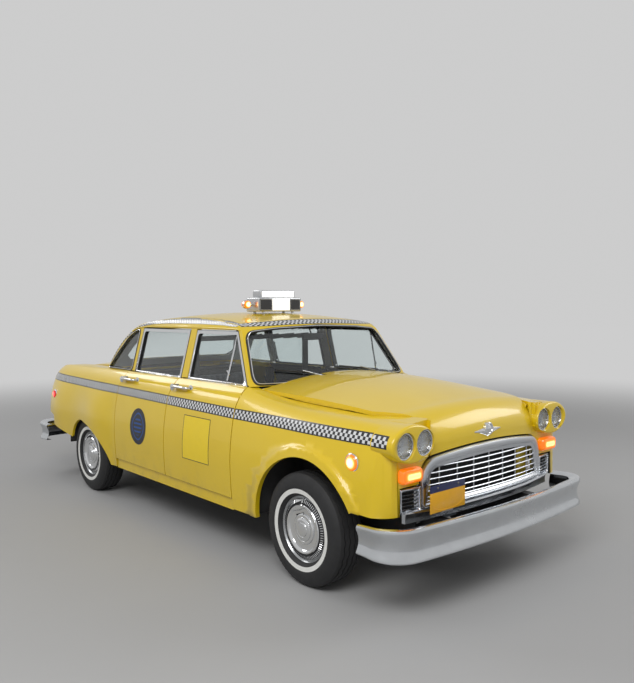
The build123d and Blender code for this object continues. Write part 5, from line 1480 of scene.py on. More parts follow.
WHITE_RING = (0.2176, 0.2447)
COVER_DARK = ((0.157, 0.181), (0.148, 0.1555))
RIB_BOX = ((-0.0022, -0.0026, 0.1590), (0.0030, 0.0026, 0.1800))
RIB_LEAN = -0.36
RIB_OUT = 0.0785


def tread_outline(groove):
    """Outline of the tread from the inner shoulder to the outer one, with four grooves."""
    run = []
    for centre in (-GROOVES[1], -GROOVES[0], *GROOVES):
        for shift, deep in ((-GROOVE_REACH, 0), (-0.0045, 0), (-0.0030, 1), (0.0030, 1), (0.0045, 0),
                            (GROOVE_REACH, 0)):
            run.append((centre + shift, look_up(TREAD_RISE, abs(centre + shift)) - groove * deep))
    return [(-SHOULDER[0], SHOULDER[1])] + run + [SHOULDER]


def build_wheels():
    """Tyres with their tread and white ring, rims, and ribbed covers."""
    for place, x, y, side in CORNERS:
        for part, make, materials, angle, slot, node in (
                ("tyre_{}_tread", tyre_mesh, ("tyre_rubber", "white_ring"), 30.0, "tyre", "tyre_"),
                ("wheel_{}_cover", cover_mesh, ("bright_chrome", "wheel_shadow"), 28.0, "chrome", "wheel_"),
                ("wheel_{}_rim", rim_mesh, ("wheel_steel",), 35.0, "chrome", None)):
            bm = make()
            if side < 0:
                bmesh.ops.rotate(bm, verts=bm.verts, cent=(0, 0, 0), matrix=Matrix.Rotation(math.pi, 3, "Z"))
            bmesh.ops.translate(bm, verts=bm.verts, vec=(x, y, HUB_Z))
            thing = piece(part.format(place), bm, "wheel_" + place, [look(name) for name in materials],
                          angle=angle)
            if node:
                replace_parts(thing, node + place)


def tyre_mesh():
    """Tyre at the origin, its stepped tread cut by four grooves."""
    settings = bpy.context.scene.taxi_wheels
    bm = bmesh.new()
    inner = [(-a, r) for a, r in TYRE_SIDE]
    outline = inner + tread_outline(settings.groove) + list(reversed(TYRE_SIDE))
    turned_across(bm, outline, settings.blocks, closed=True)
    step = math.tau / settings.blocks
    for vert in bm.verts:
        radius = math.hypot(vert.co.y, vert.co.z)
        index = round(math.atan2(vert.co.y, vert.co.z) / step)
        near = min(abs(abs(vert.co.x) - centre) for centre in GROOVES)
        if radius > 0.330 and near < 0.006:
            vert.co.x += 0.0032 if index % 4 < 2 else -0.0032
        elif 0.3255 < radius < 0.3355 and abs(vert.co.x) > 0.08 and index % 2:
            vert.co.x *= 0.985
    for face in bm.faces:
        at = face.calc_center_median()
        on_ring = WHITE_RING[0] < math.hypot(at.y, at.z) < WHITE_RING[1]
        face.material_index = 1 if at.x > 0.10 and on_ring else 0
    return bm


def cover_mesh():
    """Wheel cover at the origin, with its radial ribs."""
    count = bpy.context.scene.taxi_wheels.ribs
    bm = bmesh.new()
    turned_across(bm, COVER, 120)
    for face in bm.faces:
        at = face.calc_center_median()
        radius = math.hypot(at.y, at.z)
        face.material_index = 1 if any(low < radius < high for low, high in COVER_DARK) else 0
    ribs = bmesh.new()
    brick(ribs, *RIB_BOX, 0.0009, 1)
    middle = (RIB_BOX[0][2] + RIB_BOX[1][2]) / 2
    turn = Matrix.Rotation(RIB_LEAN, 3, "Y")
    bmesh.ops.rotate(ribs, verts=ribs.verts, cent=(0, 0, middle), matrix=turn)
    bmesh.ops.translate(ribs, verts=ribs.verts, vec=(RIB_OUT, 0, 0))
    rib = bpy.data.meshes.new("rib")
    ribs.to_mesh(rib)
    ribs.free()
    for index in range(count):
        before = len(bm.verts)
        bm.from_mesh(rib)
        bm.verts.ensure_lookup_table()
        bmesh.ops.rotate(bm, verts=bm.verts[before:], cent=(0, 0, 0),
                         matrix=Matrix.Rotation(math.tau * index / count, 3, "X"))
    bpy.data.meshes.remove(rib)
    return bm


def rim_mesh():
    """Rim, disc and brake drum at the origin."""
    bm = bmesh.new()
    for profile, steps in ((RIM, 72), (DISC, 48), (DRUM, 48)):
        turned_across(bm, profile, steps, closed=True)
    return bm


# Roof sign, plates and small trim

SIGN_Y = -0.1905
ROOF_LAMP_X = 0.275
ROOF_LAMP_Z = 1.694
ROOF_LAMP_RIM = ((0.030, -0.012), (0.034, -0.008), (0.034, 0.008), (0.030, 0.012))
ROOF_LENS = ((0.031, 0.010), (0.029, 0.024), (0.018, 0.031), (0.0, 0.0335))
SIGN_BOXES = (
    # Left, right, foot, top, half depth, bevel
    (-0.215, 0.222, 1.636, 1.749, 0.086, 0.010),
    (-0.172, 0.178, 1.745, 1.809, 0.056, 0.008),
)
SIGN_FEET_Z = (1.622, 1.640)
SIGN_LINES_X = ((-0.200, -0.086), (0.108, 0.207))
SIGN_LINES_Z = (1.652, 1.733)
SIGN_PANELS = (
    # Name, finish, and boxes: left, right, foot, top, how far the face stands from the middle
    ("roof_sign_lit", "sign_lit", (
        (-0.078, 0.100, 1.646, 1.739, 0.0885), (-0.160, 0.166, 1.754, 1.800, 0.0585))),
    ("roof_sign_dark", "sign_panel", (
        (-0.206, -0.080, 1.646, 1.739, 0.088), (0.102, 0.213, 1.646, 1.739, 0.088))),
)


def build_sign():
    """Lit roof sign, blank, with its amber side lamps."""
    bm = bmesh.new()
    for left, right, foot, top, half, bevel in SIGN_BOXES:
        brick(bm, (left, SIGN_Y - half, foot), (right, SIGN_Y + half, top), bevel, 3)
    for x in (-0.15, 0.15):
        for y in (SIGN_Y - 0.06, SIGN_Y + 0.06):
            rod_mesh(bm, [(x, y, z) for z in SIGN_FEET_Z], 0.013)
    for side in (1, -1):
        rod_mesh(bm, [(side * 0.205, SIGN_Y, ROOF_LAMP_Z), (side * 0.262, SIGN_Y, ROOF_LAMP_Z)], 0.012)
        rim = [(radius, SIGN_Y + off) for radius, off in ROOF_LAMP_RIM]
        turned_along(bm, rim, 36, side * ROOF_LAMP_X, ROOF_LAMP_Z, closed=True)
    case = piece("roof_sign_casing", bm, "body", [look("sign_casing")])
    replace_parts(case, "roof_sign")
    for name, material, panels in SIGN_PANELS:
        rows = []
        for low, high, foot, top, reach in panels:
            for way in (-1, 1):
                near, far = sorted((SIGN_Y + way * (reach - 0.008), SIGN_Y + way * reach))
                rows.append(((low, near, foot), (high, far, top), 0.0015, 1))
        boxes(name, rows, "body", look(material))
    bm = bmesh.new()
    foot, top = SIGN_LINES_Z
    for low, high in SIGN_LINES_X:
        for way in (-1, 1):
            y = SIGN_Y + way * 0.0885
            line = [(low, y, foot), (high, y, foot), (high, y, top), (low, y, top)]
            for first, second in zip(line, line[1:] + line[:1]):
                rod_mesh(bm, [first, second], 0.0009, sides=6)
    piece("roof_sign_lines", bm, "body", [look("sign_line")])
    for place, side in SIDES:
        bm = bmesh.new()
        x = side * ROOF_LAMP_X
        for way in (-1, 1):
            turned_along(bm, [(radius, SIGN_Y + way * off) for radius, off in ROOF_LENS], 36, x, ROOF_LAMP_Z)
        bmesh.ops.recalc_face_normals(bm, faces=bm.faces)
        radial_uv(bm, (x, SIGN_Y, ROOF_LAMP_Z), 0, (0.033, 0.033))
        piece(f"roof_lamp_{place}", bm, "body", [amber_lit()], recalculate=False)


PLATE_WIDE = 0.305
PLATE_TALL = 0.152
PLATE_MARGIN = 0.006
PLATE_BLUE = (0.012, 0.018, 0.075)
PLATE_BOLT = ((0.0065, 0.0), (0.0060, 0.0025), (0.0040, 0.0040), (0.0, 0.0044))


def build_plates():
    """Blank number plates."""
    def two_tone(foot):
        def colour(tree, where, base):
            header = maths(tree, "GREATER_THAN", parted(tree, where)[2], foot + PLATE_TALL * 0.74)
            return blend_colours(tree, header, base, solid(PLATE_BLUE))
        return colour

    for name, left, foot, body, x, y, way in (
            ("plate_front", -0.6025, 0.534, "body", -0.45, NOSE_Y - 0.058, -1),
            ("plate_rear", -0.1525, 0.730, "trunk_lid", 0.0, TAIL_Y + 0.0003, 1)):
        right, top = left + PLATE_WIDE, foot + PLATE_TALL
        near, far = (y, y + 0.003) if way < 0 else (y + 0.003, y + 0.006)
        edge = near if way < 0 else far
        paint = finish(f"{name}_paint", (0.83, 0.42, 0.012), 0.38, vary=0.06, grain=40.0,
                       pattern=two_tone(foot))
        bm = bmesh.new()
        brick(bm, (left, near, foot), (right, far, top), 0.001, 2)
        corners = [(left + PLATE_MARGIN, foot + PLATE_MARGIN), (right - PLATE_MARGIN, foot + PLATE_MARGIN),
                   (right - PLATE_MARGIN, top - PLATE_MARGIN), (left + PLATE_MARGIN, top - PLATE_MARGIN)]
        ring_mesh(bm, [(a, edge, b) for a, b in dense(rounded(corners, 3), 0.02)], 0.0016, sides=6)
        plate = piece(name + "_blank", bm, body, [paint])
        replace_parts(plate, name)
        bm = bmesh.new()
        for side in (-1, 1):
            bolt = [(radius, edge + way * off) for radius, off in PLATE_BOLT]
            turned_along(bm, bolt, 16, x + side * 0.089, foot + 0.136)
        if way < 0:
            brick(bm, (x - 0.05, near + 0.003, foot - 0.010), (x + 0.05, NOSE_Y - 0.016, foot + 0.004),
                  0.001, 1)
        piece(name + "_bolts", bm, body, [look("bare_steel")])


CARD_Y = (-0.2905, -0.6455)
CARD_Z = (0.573, 0.890)
CREST_Y = 0.412
CREST_Z = 0.717
CREST_HALF = (0.135, 0.146)
CREST_BLUE = (0.010, 0.075, 0.30)
LINE_BLACK = (0.02, 0.02, 0.02)
ORNAMENT_Z = 0.922
ORNAMENT_HALF = 0.130
MEDAL_Z = 0.930
MEDAL = (
    # Radius, how far it stands forward
    (0.039, -0.010),
    (0.039, 0.013),
    (0.034, 0.018),
    (0.027, 0.018),
    (0.025, 0.013),
    (0.012, 0.019),
    (0.0, 0.020),
)


def off_middle(tree, part):
    """Distance of one number of a UV map from its middle."""
    return maths(tree, "ABSOLUTE", maths(tree, "SUBTRACT", part, 0.5))


def card_pattern(tree, where, base):
    """Thin dark line round a sheet."""
    parts = parted(tree, where)
    line = maths(tree, "MAXIMUM", off_middle(tree, parts[0]), off_middle(tree, parts[1]))
    return blend_colours(tree, maths(tree, "GREATER_THAN", line, 0.485), base, solid(LINE_BLACK))


def crest_pattern(tree, where, base):
    """Plain ring round a few level bars."""
    parts = parted(tree, where)
    across, up = off_middle(tree, parts[0]), off_middle(tree, parts[1])
    reach = maths(tree, "SQRT", maths(tree, "ADD", maths(tree, "MULTIPLY", across, across),
                                      maths(tree, "MULTIPLY", up, up)))
    ring = maths(tree, "LESS_THAN", maths(tree, "ABSOLUTE", maths(tree, "SUBTRACT", reach, 0.36)), 0.022)
    lines = maths(tree, "LESS_THAN", maths(tree, "FRACT", maths(tree, "MULTIPLY", parts[1], 9.0)), 0.42)
    core = maths(tree, "MULTIPLY", lines, maths(tree, "LESS_THAN", reach, 0.25))
    inner = blend_colours(tree, core, base, solid(CREST_BLUE))
    return blend_colours(tree, ring, inner, solid(CREST_BLUE))


def build_badges():
    """Blank fare card and plain crest on the right doors, and the plain ornament of the hood."""
    card = finish("card_yellow", (0.90, 0.66, 0.02), 0.35, vary=0.04, grain=20.0, bump=0.05,
                  pattern=card_pattern, use_uv=True)
    crest = finish("crest_dark", (0.022, 0.022, 0.030), 0.4, vary=0.2, grain=40.0, bump=0.08,
                   pattern=crest_pattern, use_uv=True)

    def oblong(along, up):
        return (-BESIDE, between(*CARD_Y, along), between(*CARD_Z, up)), (1, 0, 0)

    def oval(along, up):
        u, v = 2 * along - 1, 2 * up - 1
        x = u * math.sqrt(1 - v * v / 2) * CREST_HALF[0]
        z = v * math.sqrt(1 - u * u / 2) * CREST_HALF[1]
        return (-BESIDE, CREST_Y - x, CREST_Z + z), (1, 0, 0)

    for name, door, place, cells, material in (
            ("fare_card", "door_front_right", oblong, (14, 12), card),
            ("door_crest", "door_rear_right", oval, (24, 24), crest)):
        draped(name, ray_tree(door), place, cells, door, [material], 0.0009)
    hood = ray_tree("hood")
    bm = bmesh.new()
    stations = []
    for step in range(33):
        share = step / 16 - 1
        x = share * ORNAMENT_HALF
        slim = (1 - abs(share)) ** 0.9
        low, high = -0.006 - 0.040 * slim ** 1.6, 0.003 + 0.016 * slim
        thick = 0.003 + 0.011 * slim
        back = from_front(hood, x, ORNAMENT_Z, start=-3.0).y
        section = ((0.004, low), (-thick * 0.7, low * 0.6), (-thick, 0.0), (-thick * 0.7, high * 0.6),
                   (0.004, high))
        stations.append([(x, back + depth, ORNAMENT_Z + rise) for depth, rise in section])
    skin_over(bm, stations)
    back = from_front(hood, 0, MEDAL_Z, start=-3.0).y
    turned_along(bm, [(radius, back - off) for radius, off in MEDAL], 40, 0, MEDAL_Z)
    piece("hood_ornament", bm, "hood", [look("bright_chrome")], angle=40.0)


HANDLE_X = 0.895
HANDLE_Z = 1.077
HANDLES_Y = (("front", -0.2255), ("rear", 0.6255))
ROSES_Y = (-0.050, 0.148)
HANDLE_ROWS = (
    # Bars of a handle: radius, sides, and points in from the outermost line, along the car and up
    (0.0095, 12, ((0.042, -0.052, -0.004), (0.014, -0.046, 0.0), (0.004, -0.020, 0.002), (0.0, 0.030, 0.003),
                  (0.0, 0.090, 0.003), (0.003, 0.125, 0.002), (0.016, 0.150, 0.0))),
    (0.017, 20, ((0.060, 0.146, 0.0), (0.010, 0.150, 0.0))),
    (0.012, 20, ((0.012, 0.150, 0.0), (-0.002, 0.150, 0.0))),
)
HANDLE_FOOT = ((0.027, 0.0), (0.025, 0.007), (0.014, 0.010), (0.0, 0.011))


def build_handles():
    """Door handles with their push buttons."""
    for place, side in SIDES:
        for door, handle_y in HANDLES_Y:
            node = f"door_{door}_{place}"
            tree = ray_tree(node)
            bm = bmesh.new()
            for radius, sides, points in HANDLE_ROWS:
                run = [(side * (HANDLE_X - inset), handle_y + y, HANDLE_Z + z) for inset, y, z in points]
                if len(run) > 2:
                    run = rounded(run, 2, closed=False)
                rod_mesh(bm, run, radius, sides=sides)
            for shift in ROSES_Y:
                foot = from_side(tree, side, handle_y + shift, HANDLE_Z - 0.006)
                rose = [(foot.x + side * (off - 0.004), radius) for radius, off in HANDLE_FOOT]
                turned_across(bm, rose, 24, foot.y, foot.z)
            piece(f"handle_{door}_{place}", bm, node, [look("bright_chrome")])


WIPERS_X = (("right", -0.08), ("left", 0.47))
WIPER_FOOT_Z = 1.150
WIPER_ARM = (
    # In from the pivot, height, lift off the glass, radius
    (0.0, 1.150, 0.012, 0.006),
    (0.14, 1.176, 0.022, 0.0045),
    (0.26, 1.205, 0.024, 0.0035),
)
WIPER_BLADE = ((0.06, 1.176), (0.46, 1.224))
BLADE_LIFT = 0.014


def build_wipers():
    """Wipers parked on the screen, and the cabin's mirror."""
    shell = ray_tree("body_glass", "roof", "cowl")
    for place, pivot_x in WIPERS_X:
        bm = bmesh.new()
        arm = [from_front(shell, pivot_x - inset, z, lift) for inset, z, lift, _ in WIPER_ARM]
        rod_mesh(bm, arm, [row[-1] for row in WIPER_ARM], sides=8)
        foot = from_front(shell, pivot_x, WIPER_FOOT_Z)
        rod_mesh(bm, [foot, foot + Vector((0, -0.012, 0.018))], 0.013, sides=16)
        piece(f"wiper_arm_{place}", bm, "body", [look("wiper_steel")])
        blade = bmesh.new()
        run = [[between(a, b, i / 10) for a, b in zip(*WIPER_BLADE)] for i in range(11)]
        line = [from_front(shell, pivot_x - inset, z, BLADE_LIFT) for inset, z in run]
        rod_mesh(blade, line, 0.0055, sides=8)
        piece(f"wiper_blade_{place}", blade, "body", [look("window_rubber")])
    bm = bmesh.new()
    brick(bm, (-0.105, -0.690, 1.415), (0.105, -0.672, 1.468), 0.007, 3)
    rod_mesh(bm, [(0, -0.670, 1.45), (0, -0.620, 1.53)], 0.006)
    piece("cabin_mirror", bm, "body", [look("window_rubber")])
    boxes("cabin_mirror_glass", [((-0.099, -0.6715, 1.420), (0.099, -0.6700, 1.463), 0.0005, 1)],
          "body", look("bright_chrome"))


# Cabin

CUSHION_CAP = 0.018
SEAM_DEPTH = 0.012
SEAM_MARGIN = 0.02
CUSHIONS = (
    # Name, two corners, the way its face looks, how far it leans back, and the nodes it replaces
    ("front_cushion", (-0.635, -0.500, 0.470), (0.635, -0.085, 0.625), (0, -0.1, 0.99), 0.0,
     ("front_seat",)),
    ("front_backrest", (-0.635, -0.075, 0.545), (0.635, 0.045, 1.005), (0, -0.98, 0.2), 0.10, ()),
    ("rear_cushion", (-0.625, 0.625, 0.470), (0.625, 1.035, 0.630), (0, -0.1, 0.99), 0.0,
     ("rear_seat",)),
    ("rear_backrest", (-0.625, 1.010, 0.560), (0.625, 1.130, 1.040), (0, -0.98, 0.2), 0.12, ()),
)


def cushion(name, low, high, axis, tilt, nodes_replaced):
    """Blown-up cushion with sewn channels between two corners; its channels repeat along x."""
    settings = bpy.context.scene.taxi_cabin
    bm = bmesh.new()
    brick(bm, low, high, min(0.035, min(b - a for a, b in zip(low, high)) * 0.35), 3)
    mesh = bpy.data.meshes.new(name)
    bm.to_mesh(mesh)
    bm.free()
    thing = bpy.data.objects.new(name, mesh)
    bpy.context.scene.collection.objects.link(thing)
    remesh = thing.modifiers.new("remesh", "REMESH")
    remesh.mode = "VOXEL"
    remesh.voxel_size = settings.voxel
    apply_modifiers(thing)
    rest = [vertex.co.copy() for vertex in thing.data.vertices]
    cloth = thing.modifiers.new("cloth", "CLOTH")
    cloth.settings.use_pressure = True
    cloth.settings.uniform_pressure_force = 4.0
    cloth.settings.quality = 5
    cloth.settings.effector_weights.gravity = 0.0
    cloth.point_cache.frame_start = 1
    cloth.point_cache.frame_end = settings.frames
    for number in range(1, settings.frames + 1):
        bpy.context.scene.frame_set(number)
    apply_modifiers(thing)
    bpy.context.scene.frame_set(1)
    for vertex, start in zip(thing.data.vertices, rest):
        moved = vertex.co - start
        if moved.length > CUSHION_CAP:
            vertex.co = start + moved.normalized() * CUSHION_CAP
    smoother = thing.modifiers.new("subdivide", "SUBSURF")
    smoother.levels = smoother.render_levels = 1
    apply_modifiers(thing)
    shape_channels(thing.data, low, high, axis, settings.channel)
    if tilt:
        lean(thing, (0, low[1], low[2]), tilt)
    thing.data.transform(Matrix.Translation(SHIFT))
    thing.data.shade_smooth()
    thing.data.materials.append(look("seat_vinyl"))
    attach(thing, "body")
    if nodes_replaced:
        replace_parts(thing, *nodes_replaced)


def apply_modifiers(thing):
    """Keep what a piece's modifiers make, and take them off."""
    graph = bpy.context.evaluated_depsgraph_get()
    mesh = bpy.data.meshes.new_from_object(thing.evaluated_get(graph))
    old = thing.data
    thing.modifiers.clear()
    thing.data = mesh
    bpy.data.meshes.remove(old)


def shape_channels(mesh, low, high, axis, pitch):
    """Press the sewn seams between the channels into a cushion's face."""
    width = high[0] - low[0]
    count = max(1, round(width / pitch))
    real = width / count
    for vertex in mesh.vertices:
        share = (vertex.co.x - low[0]) / real
        away = abs(share - round(share)) * real
        ridge = min(1.0, away / (real * 0.5))
        depth = SEAM_DEPTH * (1 - math.sqrt(max(0.0, 1 - (1 - ridge) ** 2)))
        if SEAM_MARGIN < vertex.co.x - low[0] < width - SEAM_MARGIN:
            vertex.co -= Vector(axis) * depth


def lean(thing, pivot, angle):
    """Lean a finished cushion back about an edge."""
    turn = Matrix.Rotation(-angle, 4, "X")
    back = Matrix.Translation([-part for part in pivot])
    thing.data.transform(Matrix.Translation(pivot) @ turn @ back)


def build_cabin():
    """Seats, dashboard, steering wheel, partition and floor covering."""
    for row in CUSHIONS:
        cushion(*row)
    vinyl = look("cabin_vinyl")
    boxes("seat_boxes", [
        ((-0.620, -0.470, 0.345), (0.620, 0.030, 0.470), 0.006, 2),
        ((-0.620, 0.020, 0.460), (0.620, 0.060, 0.960), 0.010, 2),
        ((-0.610, 0.640, 0.345), (-0.130, 0.930, 0.475), 0.006, 2),
        ((0.130, 0.640, 0.345), (0.610, 0.930, 0.475), 0.006, 2),
        ((-0.610, 0.640, 0.450), (0.610, 1.180, 0.480), 0.006, 2)], "body", vinyl)
    dressed("dashboard", [vinyl])
    dressed("steering_wheel", [look("wheel_rim_black")])
    dressed("partition", [vinyl])

    def floor_face(at, normal):
        if abs(at.x) > 0.9 and abs(normal.x) > 0.5:
            return 2
        return 1 if normal.z > 0.5 and abs(at.x) < 0.78 else 0

    steel, paint = look("chassis_metal"), body_paint()
    dressed("floor_pan", [steel, look("floor_mat"), paint], floor_face)
    dressed("rear_floor", [steel, vinyl], lambda at, normal: 1 if at.z > 1.0 else 0)
    dressed("pillars", [steel, paint], lambda at, normal: 1 if at.z > 1.08 or abs(at.x) > 0.765 else 0)
    boxes("partition_pane", [((-0.540, 0.0905, 1.0005), (0.540, 0.0955, 1.3995))],
          "body", look("window_glass"))
    boxes("gauge_pod", [
        ((0.235, -0.765, 1.035), (0.500, -0.690, 1.075), 0.012, 3),
        ((0.245, -0.755, 0.960), (0.490, -0.748, 1.030), 0.004, 2)], "body", vinyl)


def build_glass():
    """Window panes."""
    for name in nodes:
        if name.startswith("glass_") or name == "body_glass":
            dressed(name, [look("window_glass")], angle=20.0)


def build_running_gear():
    """Frame, engine bay, axles and exhaust."""
    for material, names in (
            ("chassis_metal", ("frame", "engine_bay", "front_suspension")),
            ("engine_enamel", ("engine",)),
            ("bare_steel", ("driveline", "exhaust", "fuel_tank", "knuckle_left", "knuckle_right"))):
        for name in names:
            dressed(name, [look(material)])


# Stage

FLOOR_REACH = 60.0
FLOOR_DROP = 0.0005
BACKDROP = (0.61, 0.61, 0.61)
WORLD_GREY = (0.80, 0.80, 0.80)
WORLD_STRENGTH = (0.38, 0.76)
PHOTO_WIDTH = 634
PHOTO_FOCUS = 705.85
SENSOR_WIDTH = 36.0
CAMERA_AT = (-3.5442, -4.8103, 1.6528)
CAMERA_TURN = (0.7153, 0.0457, 0.0062)
FADE = (5.0, 13.0)
LAMPS = (
    # Name, place, what it looks at, its two sizes, and the setting that holds its power
    ("key", (-5.5, -4.5, 6.0), (0, -0.3, 0.6), (5.0, 3.0), "key"),
    ("fill", (5.5, -5.0, 4.5), (0, -0.3, 0.6), (4.0, 3.0), "fill"),
    ("rear", (-3.0, 6.5, 5.5), (0, 0.6, 0.8), (5.0, 2.5), "fill"),
)


def build_stage():
    """Pale floor, soft lamps and the camera."""
    settings = bpy.context.scene.taxi_stage
    scene = bpy.context.scene
    bm = bmesh.new()
    bmesh.ops.create_circle(bm, cap_ends=True, segments=96, radius=FLOOR_REACH)
    mesh = bpy.data.meshes.new("floor")
    bm.to_mesh(mesh)
    bm.free()
    ground = bpy.data.objects.new("floor", mesh)
    scene.collection.objects.link(ground)
    ground.location.z = -FLOOR_DROP
    material = bpy.data.materials.new("floor")
    material.use_nodes = True
    tree = material.node_tree
    shader = tree.nodes["Principled BSDF"]
    shader.inputs["Roughness"].default_value = 0.75
    place = tree.nodes.new("ShaderNodeTexCoord")
    soft = cloud(tree, place.outputs["Object"], 2.0, detail=3.0)
    pale = solid([part * 1.03 for part in settings.floor])
    tree.links.new(blend_colours(tree, soft, solid(settings.floor), pale), shader.inputs["Base Color"])
    away = tree.nodes.new("ShaderNodeVectorMath")
    away.operation = "LENGTH"
    tree.links.new(place.outputs["Object"], away.inputs[0])
    far = spread(tree, away.outputs["Value"], *FADE)
    glow = tree.nodes.new("ShaderNodeEmission")
    glow.inputs["Color"].default_value = solid(BACKDROP)
    mixed = tree.nodes.new("ShaderNodeMixShader")
    tree.links.new(far, mixed.inputs[0])
    tree.links.new(shader.outputs[0], mixed.inputs[1])
    tree.links.new(glow.outputs[0], mixed.inputs[2])
    tree.links.new(mixed.outputs[0], tree.nodes["Material Output"].inputs["Surface"])
    mesh.materials.append(material)

    world = bpy.data.worlds.new("studio")
    world.use_nodes = True
    scene.world = world
    tree = world.node_tree
    back = tree.nodes["Background"]
    back.inputs["Color"].default_value = solid(WORLD_GREY)
    path = tree.nodes.new("ShaderNodeLightPath")
    seen = maths(tree, "MAXIMUM", path.outputs["Is Camera Ray"],
                 maths(tree, "MAXIMUM", path.outputs["Is Glossy Ray"], path.outputs["Is Transmission Ray"]))
    tree.links.new(spread(tree, seen, 0.0, 1.0, *WORLD_STRENGTH, smooth=False), back.inputs["Strength"])

    for name, at, aim, size, power in LAMPS:
        data = bpy.data.lights.new(name, "AREA")
        data.shape = "RECTANGLE"
        data.size, data.size_y = size
        data.energy = getattr(settings, power)
        lamp = bpy.data.objects.new(name, data)
        lamp.location = at
        lamp.rotation_mode = "QUATERNION"
        lamp.rotation_quaternion = (Vector(aim) - Vector(at)).to_track_quat("-Z", "Y")
        scene.collection.objects.link(lamp)

    yaw, pitch, roll = CAMERA_TURN
    ahead = Vector((math.sin(yaw) * math.cos(pitch), math.cos(yaw) * math.cos(pitch), -math.sin(pitch)))
    right = Vector((math.cos(yaw), -math.sin(yaw), 0))
    down = ahead.cross(right)
    turned_right = right * math.cos(roll) + down * math.sin(roll)
    turned_down = down * math.cos(roll) - right * math.sin(roll)
    data = bpy.data.cameras.new("camera")
    data.sensor_fit = "HORIZONTAL"
    data.sensor_width = SENSOR_WIDTH
    data.lens = PHOTO_FOCUS / PHOTO_WIDTH * SENSOR_WIDTH
    data.clip_end = 200.0
    camera = bpy.data.objects.new("camera", data)
    axes = Matrix((turned_right, -turned_down, -ahead)).transposed()
    camera.matrix_world = Matrix.Translation(Vector(CAMERA_AT) + SHIFT) @ axes.to_4x4()
    scene.collection.objects.link(camera)
    scene.camera = camera
    scene.view_settings.view_transform = "Standard"


# Operators

class BuildOperator:
    """What the operators share."""

    bl_options = {"REGISTER"}

    def execute(self, context):
        type(self).work()
        return {"FINISHED"}


class TAXI_OT_stage(BuildOperator, bpy.types.Operator):
    """Lay the pale floor, hang the lamps and place the camera."""

    bl_idname = "taxi.stage"
    bl_label = "Stage"
    work = staticmethod(build_stage)


class TAXI_OT_panels(BuildOperator, bpy.types.Operator):
    """Dress the painted panels."""

    bl_idname = "taxi.panels"
    bl_label = "Body Panels"
    work = staticmethod(build_panels)


class TAXI_OT_glass(BuildOperator, bpy.types.Operator):
    """Dress the window panes."""

    bl_idname = "taxi.glass"
    bl_label = "Glass"
    work = staticmethod(build_glass)


class TAXI_OT_bands(BuildOperator, bpy.types.Operator):
    """Lay the chequered bands on the paint."""

    bl_idname = "taxi.bands"
    bl_label = "Chequered Bands"
    work = staticmethod(build_bands)


class TAXI_OT_window_trim(BuildOperator, bpy.types.Operator):
    """Fit the window rubbers, beads and drip rails."""

    bl_idname = "taxi.window_trim"
    bl_label = "Window Trim"
    work = staticmethod(build_window_trim)


class TAXI_OT_grille(BuildOperator, bpy.types.Operator):
    """Build the bowed grille."""

    bl_idname = "taxi.grille"
    bl_label = "Grille"
    work = staticmethod(build_grille)


class TAXI_OT_bumpers(BuildOperator, bpy.types.Operator):
    """Roll the two bumpers."""

    bl_idname = "taxi.bumpers"
    bl_label = "Bumpers"
    work = staticmethod(build_bumpers)


class TAXI_OT_lamps(BuildOperator, bpy.types.Operator):
    """Fit the lamps."""

    bl_idname = "taxi.lamps"
    bl_label = "Lamps"
    work = staticmethod(build_lamps)


class TAXI_OT_wheels(BuildOperator, bpy.types.Operator):
    """Build the tyres, rims and covers."""

    bl_idname = "taxi.wheels"
    bl_label = "Wheels"
    work = staticmethod(build_wheels)


class TAXI_OT_sign(BuildOperator, bpy.types.Operator):
    """Build the roof sign."""

    bl_idname = "taxi.sign"
    bl_label = "Roof Sign"
    work = staticmethod(build_sign)


class TAXI_OT_plates(BuildOperator, bpy.types.Operator):
    """Press the blank plates."""

    bl_idname = "taxi.plates"
    bl_label = "Plates"
    work = staticmethod(build_plates)


class TAXI_OT_badges(BuildOperator, bpy.types.Operator):
    """Lay the blank card and crest, and cast the ornament."""

    bl_idname = "taxi.badges"
    bl_label = "Card, Crest and Ornament"
    work = staticmethod(build_badges)


class TAXI_OT_handles(BuildOperator, bpy.types.Operator):
    """Fit the door handles."""

    bl_idname = "taxi.handles"
    bl_label = "Door Handles"
    work = staticmethod(build_handles)


class TAXI_OT_wipers(BuildOperator, bpy.types.Operator):
    """Fit the wipers and the mirror."""

    bl_idname = "taxi.wipers"
    bl_label = "Wipers and Mirror"
    work = staticmethod(build_wipers)


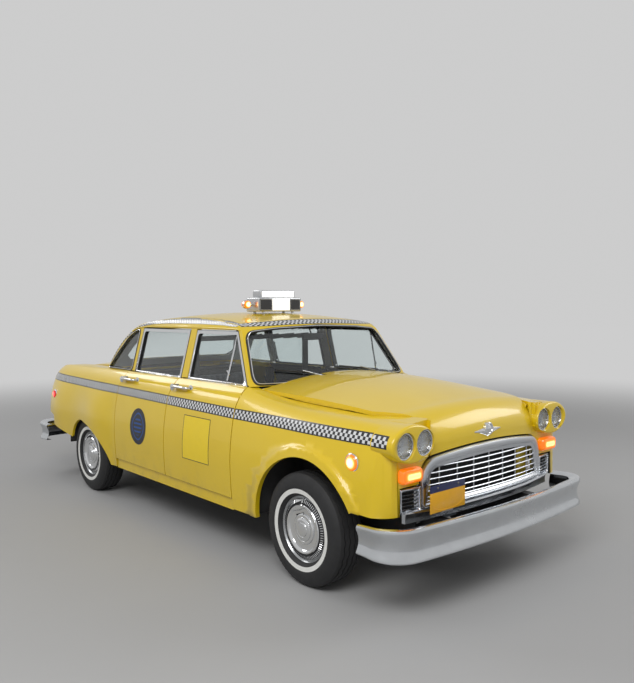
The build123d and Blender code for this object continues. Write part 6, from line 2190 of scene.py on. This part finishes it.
class TAXI_OT_cabin(BuildOperator, bpy.types.Operator):
    """Pad the seats and dress the cabin."""

    bl_idname = "taxi.cabin"
    bl_label = "Cabin"
    work = staticmethod(build_cabin)


class TAXI_OT_running_gear(BuildOperator, bpy.types.Operator):
    """Dress the frame, engine and axles."""

    bl_idname = "taxi.running_gear"
    bl_label = "Running Gear"
    work = staticmethod(build_running_gear)


OPERATORS = (
    TAXI_OT_stage, TAXI_OT_panels, TAXI_OT_glass, TAXI_OT_bands, TAXI_OT_window_trim, TAXI_OT_grille,
    TAXI_OT_bumpers, TAXI_OT_lamps, TAXI_OT_wheels, TAXI_OT_sign, TAXI_OT_plates, TAXI_OT_badges,
    TAXI_OT_handles, TAXI_OT_wipers, TAXI_OT_cabin, TAXI_OT_running_gear,
)
SETTINGS = (
    ("taxi_paint", TaxiPaintSettings), ("taxi_band", TaxiBandSettings), ("taxi_wheels", TaxiWheelSettings),
    ("taxi_cabin", TaxiCabinSettings), ("taxi_stage", TaxiStageSettings),
)


class TAXI_PT_sidebar(bpy.types.Panel):
    """List of the taxi's sizes and operators."""

    bl_idname = "TAXI_PT_sidebar"
    bl_label = "Taxi Sedan"
    bl_space_type = "VIEW_3D"
    bl_region_type = "UI"
    bl_category = "Taxi"

    def draw(self, context):
        for attribute, group in SETTINGS:
            box = self.layout.box()
            for name in group.__annotations__:
                box.prop(getattr(context.scene, attribute), name)
        for operator in OPERATORS:
            self.layout.operator(operator.bl_idname)


def register():
    for attribute, group in SETTINGS:
        bpy.utils.register_class(group)
        setattr(bpy.types.Scene, attribute, PointerProperty(type=group))
    for operator in OPERATORS:
        bpy.utils.register_class(operator)
    bpy.utils.register_class(TAXI_PT_sidebar)


def unregister():
    bpy.utils.unregister_class(TAXI_PT_sidebar)
    for operator in reversed(OPERATORS):
        bpy.utils.unregister_class(operator)
    for attribute, group in reversed(SETTINGS):
        delattr(bpy.types.Scene, attribute)
        bpy.utils.unregister_class(group)


def main():
    """Build everything in order."""
    register()
    for operator in OPERATORS:
        name = operator.bl_idname.split(".")[1]
        getattr(bpy.ops.taxi, name)()


if __name__ == "__main__":
    main()
